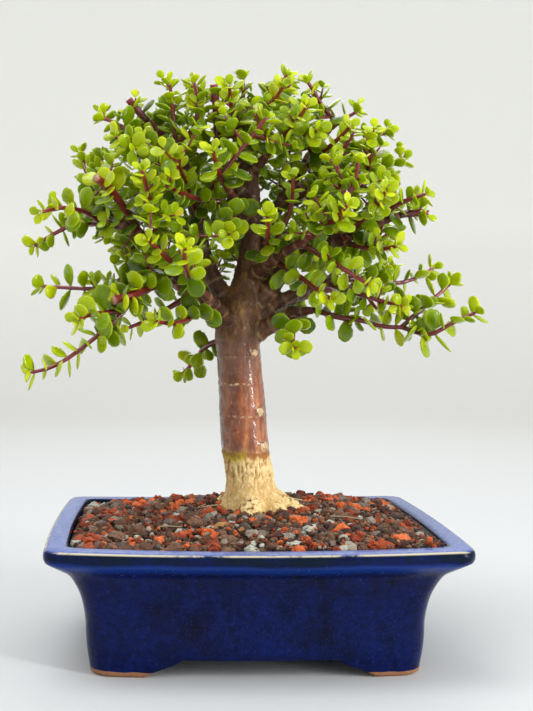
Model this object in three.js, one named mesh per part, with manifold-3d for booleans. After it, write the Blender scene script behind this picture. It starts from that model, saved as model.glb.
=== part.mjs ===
// A dwarf jade bonsai in its glazed rectangular pot, in millimetres with +Z up.
// It is drawn with the pot's middle at x = y = 0 and the feet on z = 0. The last lines move it so
// that the origin is under the middle of the whole object's box. The front is on the -Y side.
import * as THREE from "three";
import { mergeVertices } from "three/addons/utils/BufferGeometryUtils.js";
import Module from "manifold-3d";

const wasm = await Module();
wasm.setup();

// Driving dimensions

const GAP = 0.3; // between pieces that touch

const POT_LENGTH = 254; // lip, corner to corner along X
const POT_DEPTH = 198; // lip, corner to corner along Y
const POT_HEIGHT = 82;
const LIP_WIDTH = 12.5; // flat top face of the lip
const LONG_BOW = 5.5; // how far the long sides swell outwards halfway
const SHORT_BOW = 3;
const LIP_SAG = 1.5; // how far the lip dips halfway along a long side
const SAG_START = 66; // height where the walls start to dip with the lip
const FLOOR_TOP = 17;
const FLOOR_UNDERSIDE = 10;
const FRONT_ARCH = { top: 97, bottom: 139, height: 11.5, middle: 2 };
const SIDE_ARCH = { top: 50, bottom: 85, height: 9.5, middle: 0 };
const FOOT_LEG = 16; // how wide each leg of an L-shaped foot is
const DRAIN_HOLE = { diameter: 20, offset: 55 };

const SCREEN = { side: 34, thickness: 1, cells: 3, bar: 2.5 };

const SOIL_EDGE = 79.8; // height of the soil at the pot's wall
const SOIL_CROWN = 8; // how much higher it is in the middle
const SOIL_TILT = 2; // how much higher it is at the right wall, and lower at the left
const SOIL_BANK = { rise: 5, middle: 45, reach: 40 }; // soil heaped up behind the trunk
const STONE_GRID = { columns: 8, rows: 5 };
const STONE_RADIUS = [4.6, 8.4];
const STONE_CORNERS = [0.75, 1.15]; // how far each corner is from the middle, as a share of the radius
const STONE_STRETCH = [[0.9, 1.3], [0.8, 1.1], [0.7, 0.95]]; // along X, Y and Z
const STONE_TIP = 0.45; // how far a stone is tipped, in radians
const SOIL_RINGS = [1, 0.72, 0.4]; // of the soil's surface, from the wall inwards
const SOIL_BUMP = 0.8;

const STUMP_FIT = 0.4; // room round the buried wood
const BARK_LOBE = 0.07; // how far the trunk's rings swell over the roots, as a share of the radius
const COLLAR_RADII = [2.9, 2.4]; // the short woody start of a spray
const LIMB_END = 3; // wood past a limb's last point, before its spray
const LIMB_STEP = 32; // between the rings of a limb

const STEM = { base: 1.7, sideBase: 1.45, tip: 0.9, cutEnd: 2.2 }; // radii of young stems
const BARE = { main: 4, side: 8, tip: 2.5, cutTip: 7 }; // stem without leaves at its start and end

const LEAF_LENGTH = 14;
const LEAF_WIDTH = 0.78; // as a share of the length
const LEAF_THICKNESS = 0.17; // as a share of the length
const LEAF_FOOT = 2.2; // height of the place where a leaf meets its stem
const LEAF_ROOT = 0.8; // from the stem's middle to the point that a leaf is measured from
const LEAF_CLEARANCE = 0.5;
const STEM_CLEARANCE = 0.5;
const PAIR_SPACING = 15.5;
const GROWTH = { first: 1.06, tip: 0.66, cutTip: 0.95, draw: 0.14 }; // leaf size along a stem
const LEAN = { first: 66, tip: 30, cutTip: 50, draw: 8 }; // degrees between a leaf and its stem
const TURN_DRAW = 0.25; // how far a pair may stand out of line with the others, in radians
const LIFT = { axis: 0.12, face: 0.2 }; // how much a leaf turns up to the light

// Outer profile of the pot: how far in from the lip's edge, height, corner radius
const OUTSIDE = [
  [26, 0, 12],
  [24, 16, 12],
  [23, 34, 12],
  [21, 46, 11],
  [18, 55, 10],
  [13.5, 63, 10],
  [7.5, 68, 9],
  [2, 72, 9],
  [-0.5, 77, 9],
  [0, POT_HEIGHT, 9],
];
const INSIDE = [
  [LIP_WIDTH, POT_HEIGHT, 8],
  [13.5, 73, 8],
  [22, 58, 9],
  [31, FLOOR_TOP, 10],
];

// The trunk and its leader: x, y, height, radius
const TRUNK = [
  [6, 15, 40, 13],
  [6, 15, 58, 22],
  [6, 15, 74, 27],
  [5.5, 15, 85, 24],
  [5, 15, 92, 20.5],
  [4.3, 15, 100, 18],
  [3.6, 15, 108, 16.4],
  [1.8, 15, 120.5, 15.7],
  [0, 15, 134, 16.4],
  [-1.8, 15, 162, 15.9],
  [-3.2, 15, 182, 15.3],
  [-4.6, 15, 200, 15.3],
  [-4.8, 15, 212, 15.6],
  [-3, 15.5, 224, 14.5],
  [0, 16, 236, 11.5],
  [3, 17, 252, 9],
  [5.5, 18, 280, 7.7],
  [3.6, 16, 308, 7],
  [1.5, 15, 322, 6.2],
];

// Roots that leave the flare: points, then radii from the trunk outwards
const ROOTS = [
  { points: [[8, 14, 99], [26, 10, 91], [42, 6, 83], [56, 2, 72]], radii: [10, 7, 4.5, 3] },
  { points: [[4, 8, 96], [2, -8, 86], [-2, -24, 74], [-6, -38, 62]], radii: [10, 8, 5, 3] },
  { points: [[0, 14, 96], [-16, 9, 86], [-30, 3, 75], [-42, -2, 64]], radii: [10, 8, 5, 3] },
  { points: [[6, 20, 96], [11, 36, 86], [14, 50, 75], [16, 62, 64]], radii: [10, 8, 5, 3] },
  { points: [[0, 20, 96], [-14, 33, 85], [-26, 46, 72]], radii: [9, 7, 4] },
  { points: [[10, 10, 95], [24, -5, 84], [36, -18, 72]], radii: [8, 6, 3.5] },
];

// Limbs: each starts on the axis of the one that carries it
const LIMBS = {
  left: { points: [[-4, 14, 206], [-20, 10, 222], [-38, 3, 241], [-51, -3, 255], [-68, -10, 272],
    [-85, -14, 283]],
    radii: [8.5, 7.6, 6.6, 5.8, 4.8, 3.2] },
  left_high: { points: [[-4, 16, 216], [-17, 19, 238], [-27, 21, 262], [-34, 19, 296], [-42, 12, 325],
    [-55, 6, 342], [-66, 3, 352]],
    radii: [7.5, 6.6, 5.6, 5, 4.4, 3.6, 2.8] },
  middle_stub: { points: [[4, 16, 300], [-8, 10, 312], [-20, 2, 326]], radii: [4.4, 3.8, 3] },
  low_right: { points: [[0, 14, 204], [16, 9, 213], [30, 3, 221], [44, -4, 224]],
    radii: [8, 6.6, 5.2, 4] },
  right: { points: [[2, 16, 222], [16, 12, 238], [28, 5, 253], [39, -2, 262], [58, -9, 268],
    [77, -15, 278], [98, -20, 286]],
    radii: [7.5, 6.6, 5.8, 5, 4.2, 3.6, 2.8] },
  right_arm: { points: [[2, 15, 212], [18, 13, 226], [34, 8, 236], [50, 4, 243], [67, 0, 245]],
    radii: [6.5, 5.4, 4.4, 3.6, 2.8] },
  right_crown: { points: [[4, 17, 250], [14, 20, 272], [24, 23, 296], [38, 26, 320], [50, 27, 338],
    [61, 26, 352]],
    radii: [6, 5.2, 4.6, 4, 3.4, 2.6] },
  right_high: { points: [[27, 24, 301], [42, 16, 306], [54, 9, 311], [62, 5, 322]],
    radii: [3.8, 3.4, 3, 2.4] },
  right_fork: { points: [[56, -8, 267], [59, -10, 279], [64, -12, 291], [72, -13, 302]],
    radii: [3.4, 3.1, 2.8, 2.4] },
  top_left: { points: [[2, 15, 316], [-3, 17, 336], [-7, 19, 348]], radii: [5, 4, 3] },
  top_right: { points: [[2, 15, 314], [11, 11, 327], [19, 6, 335]], radii: [4.6, 3.6, 2.8] },
  front_left: { points: [[-5, 12, 210], [-20, -6, 226], [-32, -28, 236], [-40, -48, 243]],
    radii: [6, 4.8, 3.8, 2.6] },
  front_right: { points: [[3, 14, 246], [16, -6, 257], [30, -30, 266], [42, -52, 273]],
    radii: [5, 4.2, 3.4, 2.6] },
  front_high: { points: [[4, 14, 284], [-6, -6, 295], [-16, -28, 305]], radii: [4.2, 3.4, 2.6] },
  back_left: { points: [[-4, 18, 206], [-22, 38, 223], [-42, 60, 240], [-60, 80, 252]],
    radii: [7, 5.6, 4.2, 2.8] },
  back_right: { points: [[0, 20, 234], [18, 42, 250], [38, 64, 263], [56, 84, 272]],
    radii: [6, 5, 3.8, 2.6] },
  back_middle: { points: [[5, 18, 272], [1, 38, 290], [-5, 60, 305], [-9, 78, 316]],
    radii: [5, 4.2, 3.4, 2.5] },
  back_crown_left: { points: [[-30, 21, 274], [-46, 38, 288], [-62, 56, 300], [-74, 72, 308]],
    radii: [4.2, 3.6, 3, 2.4] },
  back_crown_right: { points: [[28, 24, 303], [42, 42, 314], [54, 60, 325]], radii: [3.8, 3.2, 2.4] },
  back_low_right: { points: [[2, 17, 216], [28, 32, 230], [54, 48, 238], [78, 60, 242]],
    radii: [6.5, 5.2, 4, 2.8] },
};

// Sprays. The main stem starts on a limb's axis and is wood as far as `collar`, or carries on from
// the end of the `limb` that it names. Side stems start on the main stem's axis. A cut stem ends flat.
const SPRAYS = {
  spray_low_left: { collar: 11,
    stem: [[-60, -7, 264], [-69, -16, 246], [-80, -29, 226], [-92, -36, 213], [-105, -42, 202],
      [-118, -46, 193], [-131, -50, 186], [-146, -54, 183]],
    sides: [[[-74, -22, 236], [-88, -20, 238], [-108, -18, 238], [-125, -16, 239], [-138, -14, 240]],
      [[-82, -31, 223], [-94, -44, 222], [-103, -54, 220], [-109, -62, 217]]] },
  spray_left_stub: { collar: 12, cut: true,
    stem: [[-48, -2, 252], [-60, -22, 241], [-74, -40, 234], [-88, -52, 229]] },
  spray_left: { collar: 11,
    stem: [[-78, -12, 279], [-96, -8, 281], [-113, -2, 283], [-127, 2, 278], [-145, 6, 268]],
    sides: [[[-96, -8, 281], [-108, -24, 288], [-120, -38, 289], [-134, -50, 285]]] },
  spray_left_end: { limb: "left",
    stem: [[-97, -2, 296], [-106, 14, 308], [-111, 26, 323], [-116, 34, 337]] },
  spray_left_high: { collar: 10, cut: true,
    stem: [[-70, -10, 273], [-82, -28, 290], [-91, -43, 301], [-99, -54, 306]] },
  spray_left_crown: { collar: 9,
    stem: [[-45, 11, 329], [-60, -9, 331], [-74, -25, 332], [-88, -36, 335]],
    sides: [[[-64, -14, 332], [-76, -8, 342], [-88, -4, 350], [-98, -2, 354]]] },
  spray_high_left: { limb: "left_high", cut: true,
    stem: [[-74, 1, 360], [-80, -1, 367]] },
  spray_high_left_back: { collar: 8,
    stem: [[-55, 6, 342], [-68, 22, 350], [-78, 38, 352], [-88, 50, 350]],
    sides: [[[-66, 19, 349], [-58, 30, 360], [-48, 38, 368], [-38, 44, 374]]] },
  spray_mast_left: { collar: 16,
    stem: [[-36, 18, 303], [-44, 3, 321], [-48, -8, 338], [-50, -12, 356], [-52, -14, 374]],
    sides: [[[-47, -6, 335], [-36, -14, 346], [-34, -18, 360], [-36, -20, 374]]] },
  spray_thick_cut: { limb: "middle_stub", cut: true,
    stem: [[-20, -5, 342], [-21, -11, 359], [-23, -15, 374]],
    sides: [[[-20, -3, 338], [-10, -14, 340], [2, -24, 338], [12, -34, 334]]] },
  spray_top: { limb: "top_left",
    stem: [[-4, 15, 362], [-1, 11, 374], [-2, 9, 385]],
    sides: [[[-6, 17, 355], [-18, 16, 366], [-28, 12, 374], [-38, 8, 378]]] },
  spray_top_right: { collar: 8,
    stem: [[-5, 18, 342], [8, 28, 360], [21, 36, 374], [32, 42, 383]],
    sides: [[[4, 24, 354], [14, 14, 366], [22, 6, 376], [28, 0, 384]]] },
  spray_right_cut: { limb: "top_right", cut: true,
    stem: [[28, -3, 344], [35, -11, 353], [39, -17, 363]] },
  spray_right_crown: { limb: "right_crown",
    stem: [[71, 23, 359], [80, 21, 364]],
    sides: [[[66, 25, 356], [56, 16, 364], [48, 10, 374], [42, 6, 382]]] },
  spray_right_crown_front: { collar: 8,
    stem: [[38, 26, 320], [50, 8, 330], [60, -12, 338], [66, -26, 344]],
    sides: [[[48, 11, 329], [40, -4, 338], [38, -18, 342], [44, -32, 340]]] },
  spray_right_high: { limb: "right_high",
    stem: [[66, -1, 333], [72, -6, 344]],
    sides: [[[64, 1, 329], [76, 6, 338], [88, 8, 344], [98, 8, 346]]] },
  spray_right_fork: { limb: "right_fork",
    stem: [[82, -10, 312], [94, -4, 320], [108, 4, 328]],
    sides: [[[78, -12, 308], [79, -20, 318], [79, -27, 328], [78, -31, 337]]] },
  spray_right_tall: { collar: 8, cut: true,
    stem: [[76, -15, 278], [91, -3, 290], [99, 8, 303], [106, 14, 313]] },
  spray_right: { collar: 8,
    stem: [[84, -17, 281], [94, -27, 291], [102, -34, 295], [112, -40, 298]] },
  spray_right_end: { limb: "right", cut: true,
    stem: [[110, -22, 288], [118, -24, 287]] },
  spray_right_low_front: { collar: 8,
    stem: [[62, -11, 270], [74, -25, 265], [84, -36, 263], [92, -46, 264]] },
  spray_right_arm: { limb: "right_arm",
    stem: [[85, 6, 245], [104, 12, 243], [120, 16, 247], [133, 20, 254]] },
  spray_right_drop: { collar: 9,
    stem: [[52, 3, 243], [67, -13, 237], [82, -25, 231], [98, -36, 226]] },
  spray_low_right: { limb: "low_right",
    stem: [[61, -14, 219], [74, -20, 217], [88, -26, 213], [100, -30, 212], [112, -35, 207]],
    sides: [[[98, -29, 212], [112, -24, 223], [124, -20, 233], [135, -16, 242]],
      [[100, -30, 212], [114, -40, 208], [127, -46, 215], [141, -50, 222]]] },
  spray_behind_trunk: { collar: 21,
    stem: [[-4, 16, 204], [-20, 28, 202], [-28, 42, 196], [-34, 54, 187], [-42, 62, 178]] },

  spray_front_left: { limb: "front_left",
    stem: [[-42, -62, 246], [-44, -76, 252], [-44, -88, 260]] },
  spray_front_left_high: { collar: 11,
    stem: [[-30, -24, 234], [-42, -32, 246], [-56, -46, 258], [-66, -62, 266]] },
  spray_front_left_low: { collar: 8,
    stem: [[-24, -13, 229], [-38, -30, 219], [-50, -46, 215], [-62, -58, 216]] },
  spray_front_right: { limb: "front_right",
    stem: [[48, -68, 278], [54, -82, 286]],
    sides: [[[46, -62, 276], [56, -60, 290], [62, -62, 304], [64, -66, 316]]] },
  spray_front_middle: { collar: 12,
    stem: [[14, -3, 255], [12, -24, 264], [10, -44, 272], [8, -60, 282]],
    sides: [[[12, -22, 263], [22, -30, 278], [26, -38, 294], [26, -46, 308]]] },
  spray_front_right_low: { collar: 7,
    stem: [[32, -33, 267], [46, -50, 256], [58, -66, 246], [68, -76, 238]] },
  spray_front_right_drop: { collar: 8,
    stem: [[17, -8, 258], [32, -26, 246], [42, -44, 236], [48, -58, 230]] },
  spray_front_high: { limb: "front_high",
    stem: [[-22, -46, 312], [-26, -62, 322]],
    sides: [[[-20, -40, 309], [-10, -46, 322], [0, -50, 334], [8, -54, 344]]] },
  spray_front_left_mid: { collar: 10,
    stem: [[-7, -8, 296], [-26, -18, 296], [-42, -34, 298], [-56, -50, 302]] },
  spray_front_low: { collar: 7,
    stem: [[-6, -6, 295], [-10, -26, 286], [-14, -44, 276], [-16, -60, 270]] },
  spray_left_front: { collar: 8,
    stem: [[-61, -7, 266], [-62, -28, 281], [-66, -46, 296], [-70, -60, 310]] },
  spray_crown_front: { collar: 8,
    stem: [[-31, 20, 284], [-36, 0, 296], [-42, -22, 308], [-48, -42, 320]],
    sides: [[[-35, 2, 295], [-24, -8, 306], [-16, -18, 318], [-14, -28, 328]]] },
  spray_top_front_right: { collar: 6,
    stem: [[16, 7, 333], [24, -16, 340], [30, -36, 346], [34, -50, 352]] },
  spray_top_front: { collar: 6,
    stem: [[-3, 17, 336], [-8, -4, 348], [-12, -22, 360], [-14, -36, 368]],
    sides: [[[-8, -2, 347], [6, -10, 354], [16, -18, 362], [22, -26, 370]]] },
  spray_right_droop: { collar: 8,
    stem: [[32, 2, 221], [30, -14, 212], [28, -28, 204], [28, -40, 199]] },
  spray_right_front: { collar: 7,
    stem: [[66, -11, 272], [72, -32, 282], [78, -52, 291], [80, -68, 296]],
    sides: [[[70, -26, 279], [62, -34, 292], [56, -40, 306], [54, -44, 320]]] },
  spray_left_hang: { collar: 10,
    stem: [[-34, 5, 237], [-52, 4, 226], [-66, 0, 218], [-80, -4, 212]] },

  spray_back_left: { limb: "back_left",
    stem: [[-72, 94, 256], [-82, 106, 262], [-90, 116, 270]],
    sides: [[[-72, 94, 256], [-88, 92, 250], [-102, 90, 242], [-114, 88, 232]]] },
  spray_back_left_in: { collar: 9,
    stem: [[-32, 49, 232], [-28, 70, 242], [-26, 88, 252], [-28, 104, 262]] },
  spray_back_left_out: { collar: 9,
    stem: [[-42, 60, 240], [-62, 58, 258], [-82, 60, 270], [-102, 64, 280]] },
  spray_back_right: { limb: "back_right",
    stem: [[66, 98, 278], [74, 110, 286]] },
  spray_back_right_in: { collar: 9,
    stem: [[28, 53, 257], [20, 74, 266], [12, 92, 274], [6, 106, 284]] },
  spray_back_middle: { limb: "back_middle",
    stem: [[-12, 92, 322], [-14, 104, 330]],
    sides: [[[-11, 88, 320], [6, 92, 334], [20, 92, 344]]] },
  spray_back_top: { collar: 7,
    stem: [[-2, 50, 299], [2, 56, 322], [2, 58, 344], [0, 60, 360]] },
  spray_back_crown_left: { limb: "back_crown_left",
    stem: [[-84, 84, 314], [-92, 92, 324]],
    sides: [[[-80, 79, 311], [-66, 92, 322], [-52, 98, 332]]] },
  spray_back_high_left: { collar: 8,
    stem: [[-46, 38, 288], [-48, 50, 312], [-48, 58, 332], [-46, 62, 350]] },
  spray_back_crown_right: { limb: "back_crown_right",
    stem: [[62, 74, 332], [68, 84, 342]],
    sides: [[[60, 70, 330], [74, 62, 330], [90, 56, 332]]] },
  spray_back_low_right: { limb: "back_low_right",
    stem: [[92, 70, 243], [106, 78, 248], [118, 84, 256]],
    sides: [[[92, 70, 243], [96, 56, 232], [102, 46, 222]]] },
  spray_back_low: { collar: 10,
    stem: [[28, 32, 230], [36, 54, 226], [42, 74, 224], [46, 92, 226]] },
  spray_back_right_out: { collar: 8,
    stem: [[54, 48, 238], [72, 44, 256], [90, 42, 270], [106, 40, 280]] },
};

const LEAF_GREEN = 0x6f9c1f;
const OLD_LEAF_GREEN = 0x4f7d17;
const GLAZE_BLUE = 0x12307f;
const BARK_BROWN = 0x7a4a30;
const SOIL_BROWN = 0x5a3f33;
const SCREEN_BLACK = 0x202020;

// Tools for making solids

// A number from 0 to 1 that is the same each time for the same seed and count.
function draw(seed, count) {
  const wave = Math.sin(seed * 127.1 + count * 311.7 + 74.7) * 43758.5453;
  return wave - Math.floor(wave);
}

// The same, from -1 to 1.
function spread(seed, count) {
  return 2 * draw(seed, count) - 1;
}

function between(low, high, share) {
  return low + (high - low) * share;
}

// A value read from a list, evenly spaced from its first to its last.
function along(list, share) {
  const place = Math.min(Math.max(share, 0), 1) * (list.length - 1);
  const before = Math.min(Math.floor(place), list.length - 2);
  return between(list[before], list[before + 1], place - before);
}

// A closed mesh of points and triangles, ready to be joined and cut.
function solid(points, triangles) {
  const geometry = new THREE.BufferGeometry().setFromPoints(points);
  geometry.setIndex(triangles.flat());
  return solidOf(geometry);
}

function solidOf(geometry) {
  const bare = geometry.clone();
  bare.deleteAttribute("normal");
  bare.deleteAttribute("uv");
  const merged = mergeVertices(bare, 1e-4);
  return new wasm.Manifold(new wasm.Mesh({
    numProp: 3,
    vertProperties: new Float32Array(merged.attributes.position.array),
    triVerts: new Uint32Array(merged.index.array),
  }));
}

function geometryOf(body) {
  const mesh = body.getMesh();
  const geometry = new THREE.BufferGeometry();
  geometry.setAttribute("position", new THREE.BufferAttribute(mesh.vertProperties, 3));
  geometry.setIndex(new THREE.BufferAttribute(mesh.triVerts, 1));
  geometry.computeVertexNormals();
  return geometry;
}

function joined(bodies) {
  return bodies.reduce((whole, body) => whole.add(body));
}

// The largest of the pieces that a body falls into, without its loose scraps.
function mainPiece(body) {
  const pieces = body.decompose();
  return pieces.reduce((best, piece) => (piece.volume() > best.volume() ? piece : best));
}

// A skin from ring to ring, closed by a fan across the first and the last. The rings have as many
// points each, and turn the same way seen from the last ring.
function loft(rings) {
  const count = rings[0].length;
  const triangles = [];
  for (let ring = 0; ring + 1 < rings.length; ring += 1) {
    for (let i = 0; i < count; i += 1) {
      const next = (i + 1) % count;
      const a = ring * count + i;
      const b = ring * count + next;
      triangles.push([a, b, b + count], [a, b + count, a + count]);
    }
  }
  const last = (rings.length - 1) * count;
  for (let i = 1; i + 1 < count; i += 1) {
    triangles.push([0, i + 1, i], [last, last + i, last + i + 1]);
  }
  return solid(rings.flat(), triangles);
}

function box(width, depth, height, x, y, z) {
  return solidOf(new THREE.BoxGeometry(width, depth, height).translate(x, y, z));
}

// A line through hand-placed points, with a direction along it and two across it at every step.
// The two across turn as little as they can from step to step.
class Spine {
  constructor(points) {
    const places = points.map((point) => new THREE.Vector3(...point));
    const curve = new THREE.CatmullRomCurve3(places, false, "catmullrom", 0.5);
    this.length = curve.getLength();
    this.count = Math.max(8, Math.ceil(this.length / 1.5));
    this.steps = [];
    let across = new THREE.Vector3(0, 0, 1);
    for (let i = 0; i <= this.count; i += 1) {
      const tangent = curve.getTangentAt(i / this.count).normalize();
      if (i === 0 && Math.abs(tangent.z) > 0.9) across = new THREE.Vector3(0, 1, 0);
      across = across.clone().addScaledVector(tangent, -across.dot(tangent)).normalize();
      const other = new THREE.Vector3().crossVectors(tangent, across);
      this.steps.push({ place: curve.getPointAt(i / this.count), tangent, across, other });
    }
  }

  at(distance) {
    const share = Math.min(Math.max(distance / this.length, 0), 1) * this.count;
    const before = Math.min(Math.floor(share), this.count - 1);
    const [a, b] = [this.steps[before], this.steps[before + 1]];
    const mix = (name) => a[name].clone().lerp(b[name], share - before);
    return {
      place: mix("place"),
      tangent: mix("tangent").normalize(),
      across: mix("across").normalize(),
      other: mix("other").normalize(),
    };
  }
}

// A ring of points round a place, square to the direction given by the two across it.
function ring(place, across, other, radius, sides, turn = 0) {
  const points = [];
  for (let i = 0; i < sides; i += 1) {
    const angle = turn + (i / sides) * 2 * Math.PI;
    points.push(place.clone()
      .addScaledVector(across, radius * Math.cos(angle))
      .addScaledVector(other, radius * Math.sin(angle)));
  }
  return points;
}

// A round bar along a spine from one distance to another, with its radius from a list.
function bar(spine, from, to, radii, sides, steps) {
  const rings = [];
  for (let i = 0; i <= steps; i += 1) {
    const step = spine.at(between(from, to, i / steps));
    rings.push(ring(step.place, step.across, step.other, along(radii, i / steps), sides));
  }
  return loft(rings);
}

// The pot

// The outline of the pot at an inset from the lip's edge: arcs at the corners, and between them
// points on a side that swells by a parabola.
function potOutline(inset, cornerRadius, height, sag = 0) {
  const [halfX, halfY] = [POT_LENGTH / 2 - inset, POT_DEPTH / 2 - inset];
  const corners = [[1, 1, 0], [-1, 1, 1], [-1, -1, 2], [1, -1, 3]];
  const points = [];
  corners.forEach(([signX, signY, quarter]) => {
    const [centreX, centreY] = [signX * (halfX - cornerRadius), signY * (halfY - cornerRadius)];
    for (let i = 0; i <= 3; i += 1) {
      const angle = (quarter + i / 3) * (Math.PI / 2);
      points.push([centreX + cornerRadius * Math.cos(angle), centreY + cornerRadius * Math.sin(angle)]);
    }
    const long = quarter % 2 === 0;
    const half = (long ? halfX : halfY) - cornerRadius;
    const stops = long ? [0.25, 0.5, 0.75] : [0.5];
    stops.forEach((stop) => {
      const run = between(half, -half, stop);
      if (quarter === 0) points.push([run, halfY]);
      if (quarter === 1) points.push([-halfX, run]);
      if (quarter === 2) points.push([-run, -halfY]);
      if (quarter === 3) points.push([halfX, -run]);
    });
  });
  return points.map(([x, y]) => {
    const swellY = LONG_BOW * Math.max(0, 1 - (x / halfX) ** 2) * (y / halfY);
    const swellX = SHORT_BOW * Math.max(0, 1 - (y / halfY) ** 2) * (x / halfX);
    const dip = sag * Math.max(0, 1 - (x / halfX) ** 2);
    return new THREE.Vector3(x + swellX, y + swellY, height - dip);
  });
}

// The rings of a profile of the pot. Near the lip they dip with it.
function potRings(profile) {
  return profile.map(([inset, height, cornerRadius]) => {
    const sag = LIP_SAG * Math.max(0, (height - SAG_START) / (POT_HEIGHT - SAG_START));
    return potOutline(inset, cornerRadius, height, sag);
  });
}

// A prism under an arch: a flat top, and ends that run down to the wider opening on an S curve.
function archCut({ top, bottom, height, middle }, length, alongX) {
  const shape = new THREE.Shape();
  const rise = (side, share) => {
    const eased = share * share * (3 - 2 * share);
    return [middle + side * between(bottom / 2, top / 2, eased), height * share];
  };
  shape.moveTo(middle - bottom / 2, -1);
  [0, 0.3, 0.6, 1].forEach((share) => shape.lineTo(...rise(-1, share)));
  [1, 0.6, 0.3, 0].forEach((share) => shape.lineTo(...rise(1, share)));
  shape.lineTo(middle + bottom / 2, -1);
  const geometry = new THREE.ExtrudeGeometry(shape, { depth: length, bevelEnabled: false });
  geometry.translate(0, 0, -length / 2).rotateX(Math.PI / 2);
  if (alongX) geometry.rotateZ(Math.PI / 2);
  return solidOf(geometry);
}

function makePot() {
  let pot = loft([...potRings(OUTSIDE), ...potRings(INSIDE)]);
  pot = pot.subtract(archCut(FRONT_ARCH, 2 * POT_DEPTH, false));
  pot = pot.subtract(archCut(SIDE_ARCH, 2 * POT_LENGTH, true));
  const feet = 2 * (OUTSIDE[0][0] + FOOT_LEG);
  pot = pot.subtract(box(POT_LENGTH - feet, POT_DEPTH - feet, 2 * FLOOR_UNDERSIDE, 0, 0, 0));
  const { diameter, offset } = DRAIN_HOLE;
  [-offset, offset].forEach((x) => {
    const hole = new THREE.CylinderGeometry(diameter / 2, diameter / 2, 2 * FLOOR_TOP, 16);
    pot = pot.subtract(solidOf(hole.rotateX(Math.PI / 2).translate(x, 0, FLOOR_TOP)));
  });
  return pot;
}

// A square plastic screen with a grid of square openings, lying over a drain hole.
function makeScreen(x) {
  const { side, thickness, cells, bar: web } = SCREEN;
  const height = FLOOR_TOP + GAP + thickness / 2;
  const cell = (side - web * (cells + 1)) / cells;
  let screen = box(side, side, thickness, x, 0, height);
  for (let i = 0; i < cells; i += 1) {
    for (let j = 0; j < cells; j += 1) {
      const [u, v] = [i, j].map((k) => -side / 2 + web + cell / 2 + k * (cell + web));
      screen = screen.subtract(box(cell, cell, 2 * thickness, x + u, v, height));
    }
  }
  return screen;
}

// The wood

// The trunk from its stump to the fork, thicker all round by `grow`. Near the soil its rings
// swell into lobes over the roots.
function trunk(grow) {
  const sides = 12;
  const topOfFlare = 104;
  const flare = 16;
  const centres = TRUNK.map(([x, y, z]) => new THREE.Vector3(x, y, z));
  const rings = TRUNK.map(([, , height, radius], i) => {
    const ahead = centres[Math.min(i + 1, centres.length - 1)];
    const behind = centres[Math.max(i - 1, 0)];
    const tangent = ahead.clone().sub(behind).normalize();
    const other = new THREE.Vector3().crossVectors(tangent, new THREE.Vector3(1, 0, 0)).normalize();
    const across = new THREE.Vector3().crossVectors(other, tangent);
    const lobe = BARK_LOBE * Math.min(Math.max((topOfFlare - height) / flare, 0), 1);
    return ring(centres[i], across, other, radius + grow, sides).map((point, k) => {
      const swell = 1 + lobe * (k % 2 === 0 ? 1 : -1);
      return point.sub(centres[i]).multiplyScalar(swell).add(centres[i]);
    });
  });
  return loft(rings);
}

function roots(grow) {
  return ROOTS.map(({ points, radii }) => {
    const spine = new Spine(points);
    return bar(spine, 0, spine.length, radii.map((radius) => radius + grow), 5, 3);
  });
}

// The spine of a spray's main stem. One that carries on from a limb starts at the limb's last point
// but one, so that the two run on in one line.
function sprayPoints({ limb, stem }) {
  return limb ? [...LIMBS[limb].points.slice(-2), ...stem] : stem;
}

// How far along its spine a spray is still wood.
function woodenLength({ collar, limb }) {
  if (!limb) return collar;
  const [before, end] = LIMBS[limb].points.slice(-2).map((point) => new THREE.Vector3(...point));
  return before.distanceTo(end) + LIMB_END;
}

function makeWood(spines) {
  const bars = [trunk(0), ...roots(0)];
  const carried = Object.fromEntries(Object.entries(SPRAYS).map(([name, { limb }]) => [limb, name]));
  Object.entries(LIMBS).forEach(([name, { points, radii }]) => {
    const spray = carried[name];
    const end = spines[spray].at(woodenLength(SPRAYS[spray])).place;
    const spine = new Spine([...points, end.toArray()]);
    const sides = radii[0] > 8 ? 6 : 5;
    const steps = Math.round(spine.length / LIMB_STEP) + 1;
    bars.push(bar(spine, 0, spine.length, [...radii, COLLAR_RADII[1]], sides, steps));
  });
  Object.entries(SPRAYS).filter(([, { limb }]) => !limb).forEach(([name, { collar }]) => {
    bars.push(bar(spines[name], 0, collar, COLLAR_RADII, 3, 1));
  });
  return joined(bars);
}

// The soil

function soilHeight(x, y) {
  const [halfX, halfY] = [POT_LENGTH / 2 - LIP_WIDTH, POT_DEPTH / 2 - LIP_WIDTH];
  const crown = SOIL_CROWN * (1 - (x / halfX) ** 2) * (1 - (y / halfY) ** 2);
  const { rise, middle, reach } = SOIL_BANK;
  const bank = rise * (1 - (x / halfX) ** 2) * Math.max(0, 1 - ((y - middle) / reach) ** 2);
  return SOIL_EDGE + (SOIL_TILT * x) / halfX + crown + bank;
}

// A rough stone: a solid of eight faces with each corner moved in or out, then tipped, stretched and
// turned.
function stone(radius, k) {
  const rough = new THREE.OctahedronGeometry(radius).deleteAttribute("uv").deleteAttribute("normal");
  const geometry = mergeVertices(rough);
  const corners = geometry.attributes.position;
  for (let i = 0; i < corners.count; i += 1) {
    const push = between(...STONE_CORNERS, draw(k + 10, i));
    corners.setXYZ(i, corners.getX(i) * push, corners.getY(i) * push, corners.getZ(i) * push);
  }
  geometry.rotateX(STONE_TIP * spread(8, k)).rotateY(STONE_TIP * spread(9, k));
  geometry.scale(...STONE_STRETCH.map((range, i) => between(...range, draw(4 + i, k))));
  return geometry.rotateZ(draw(7, k) * Math.PI);
}

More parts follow.
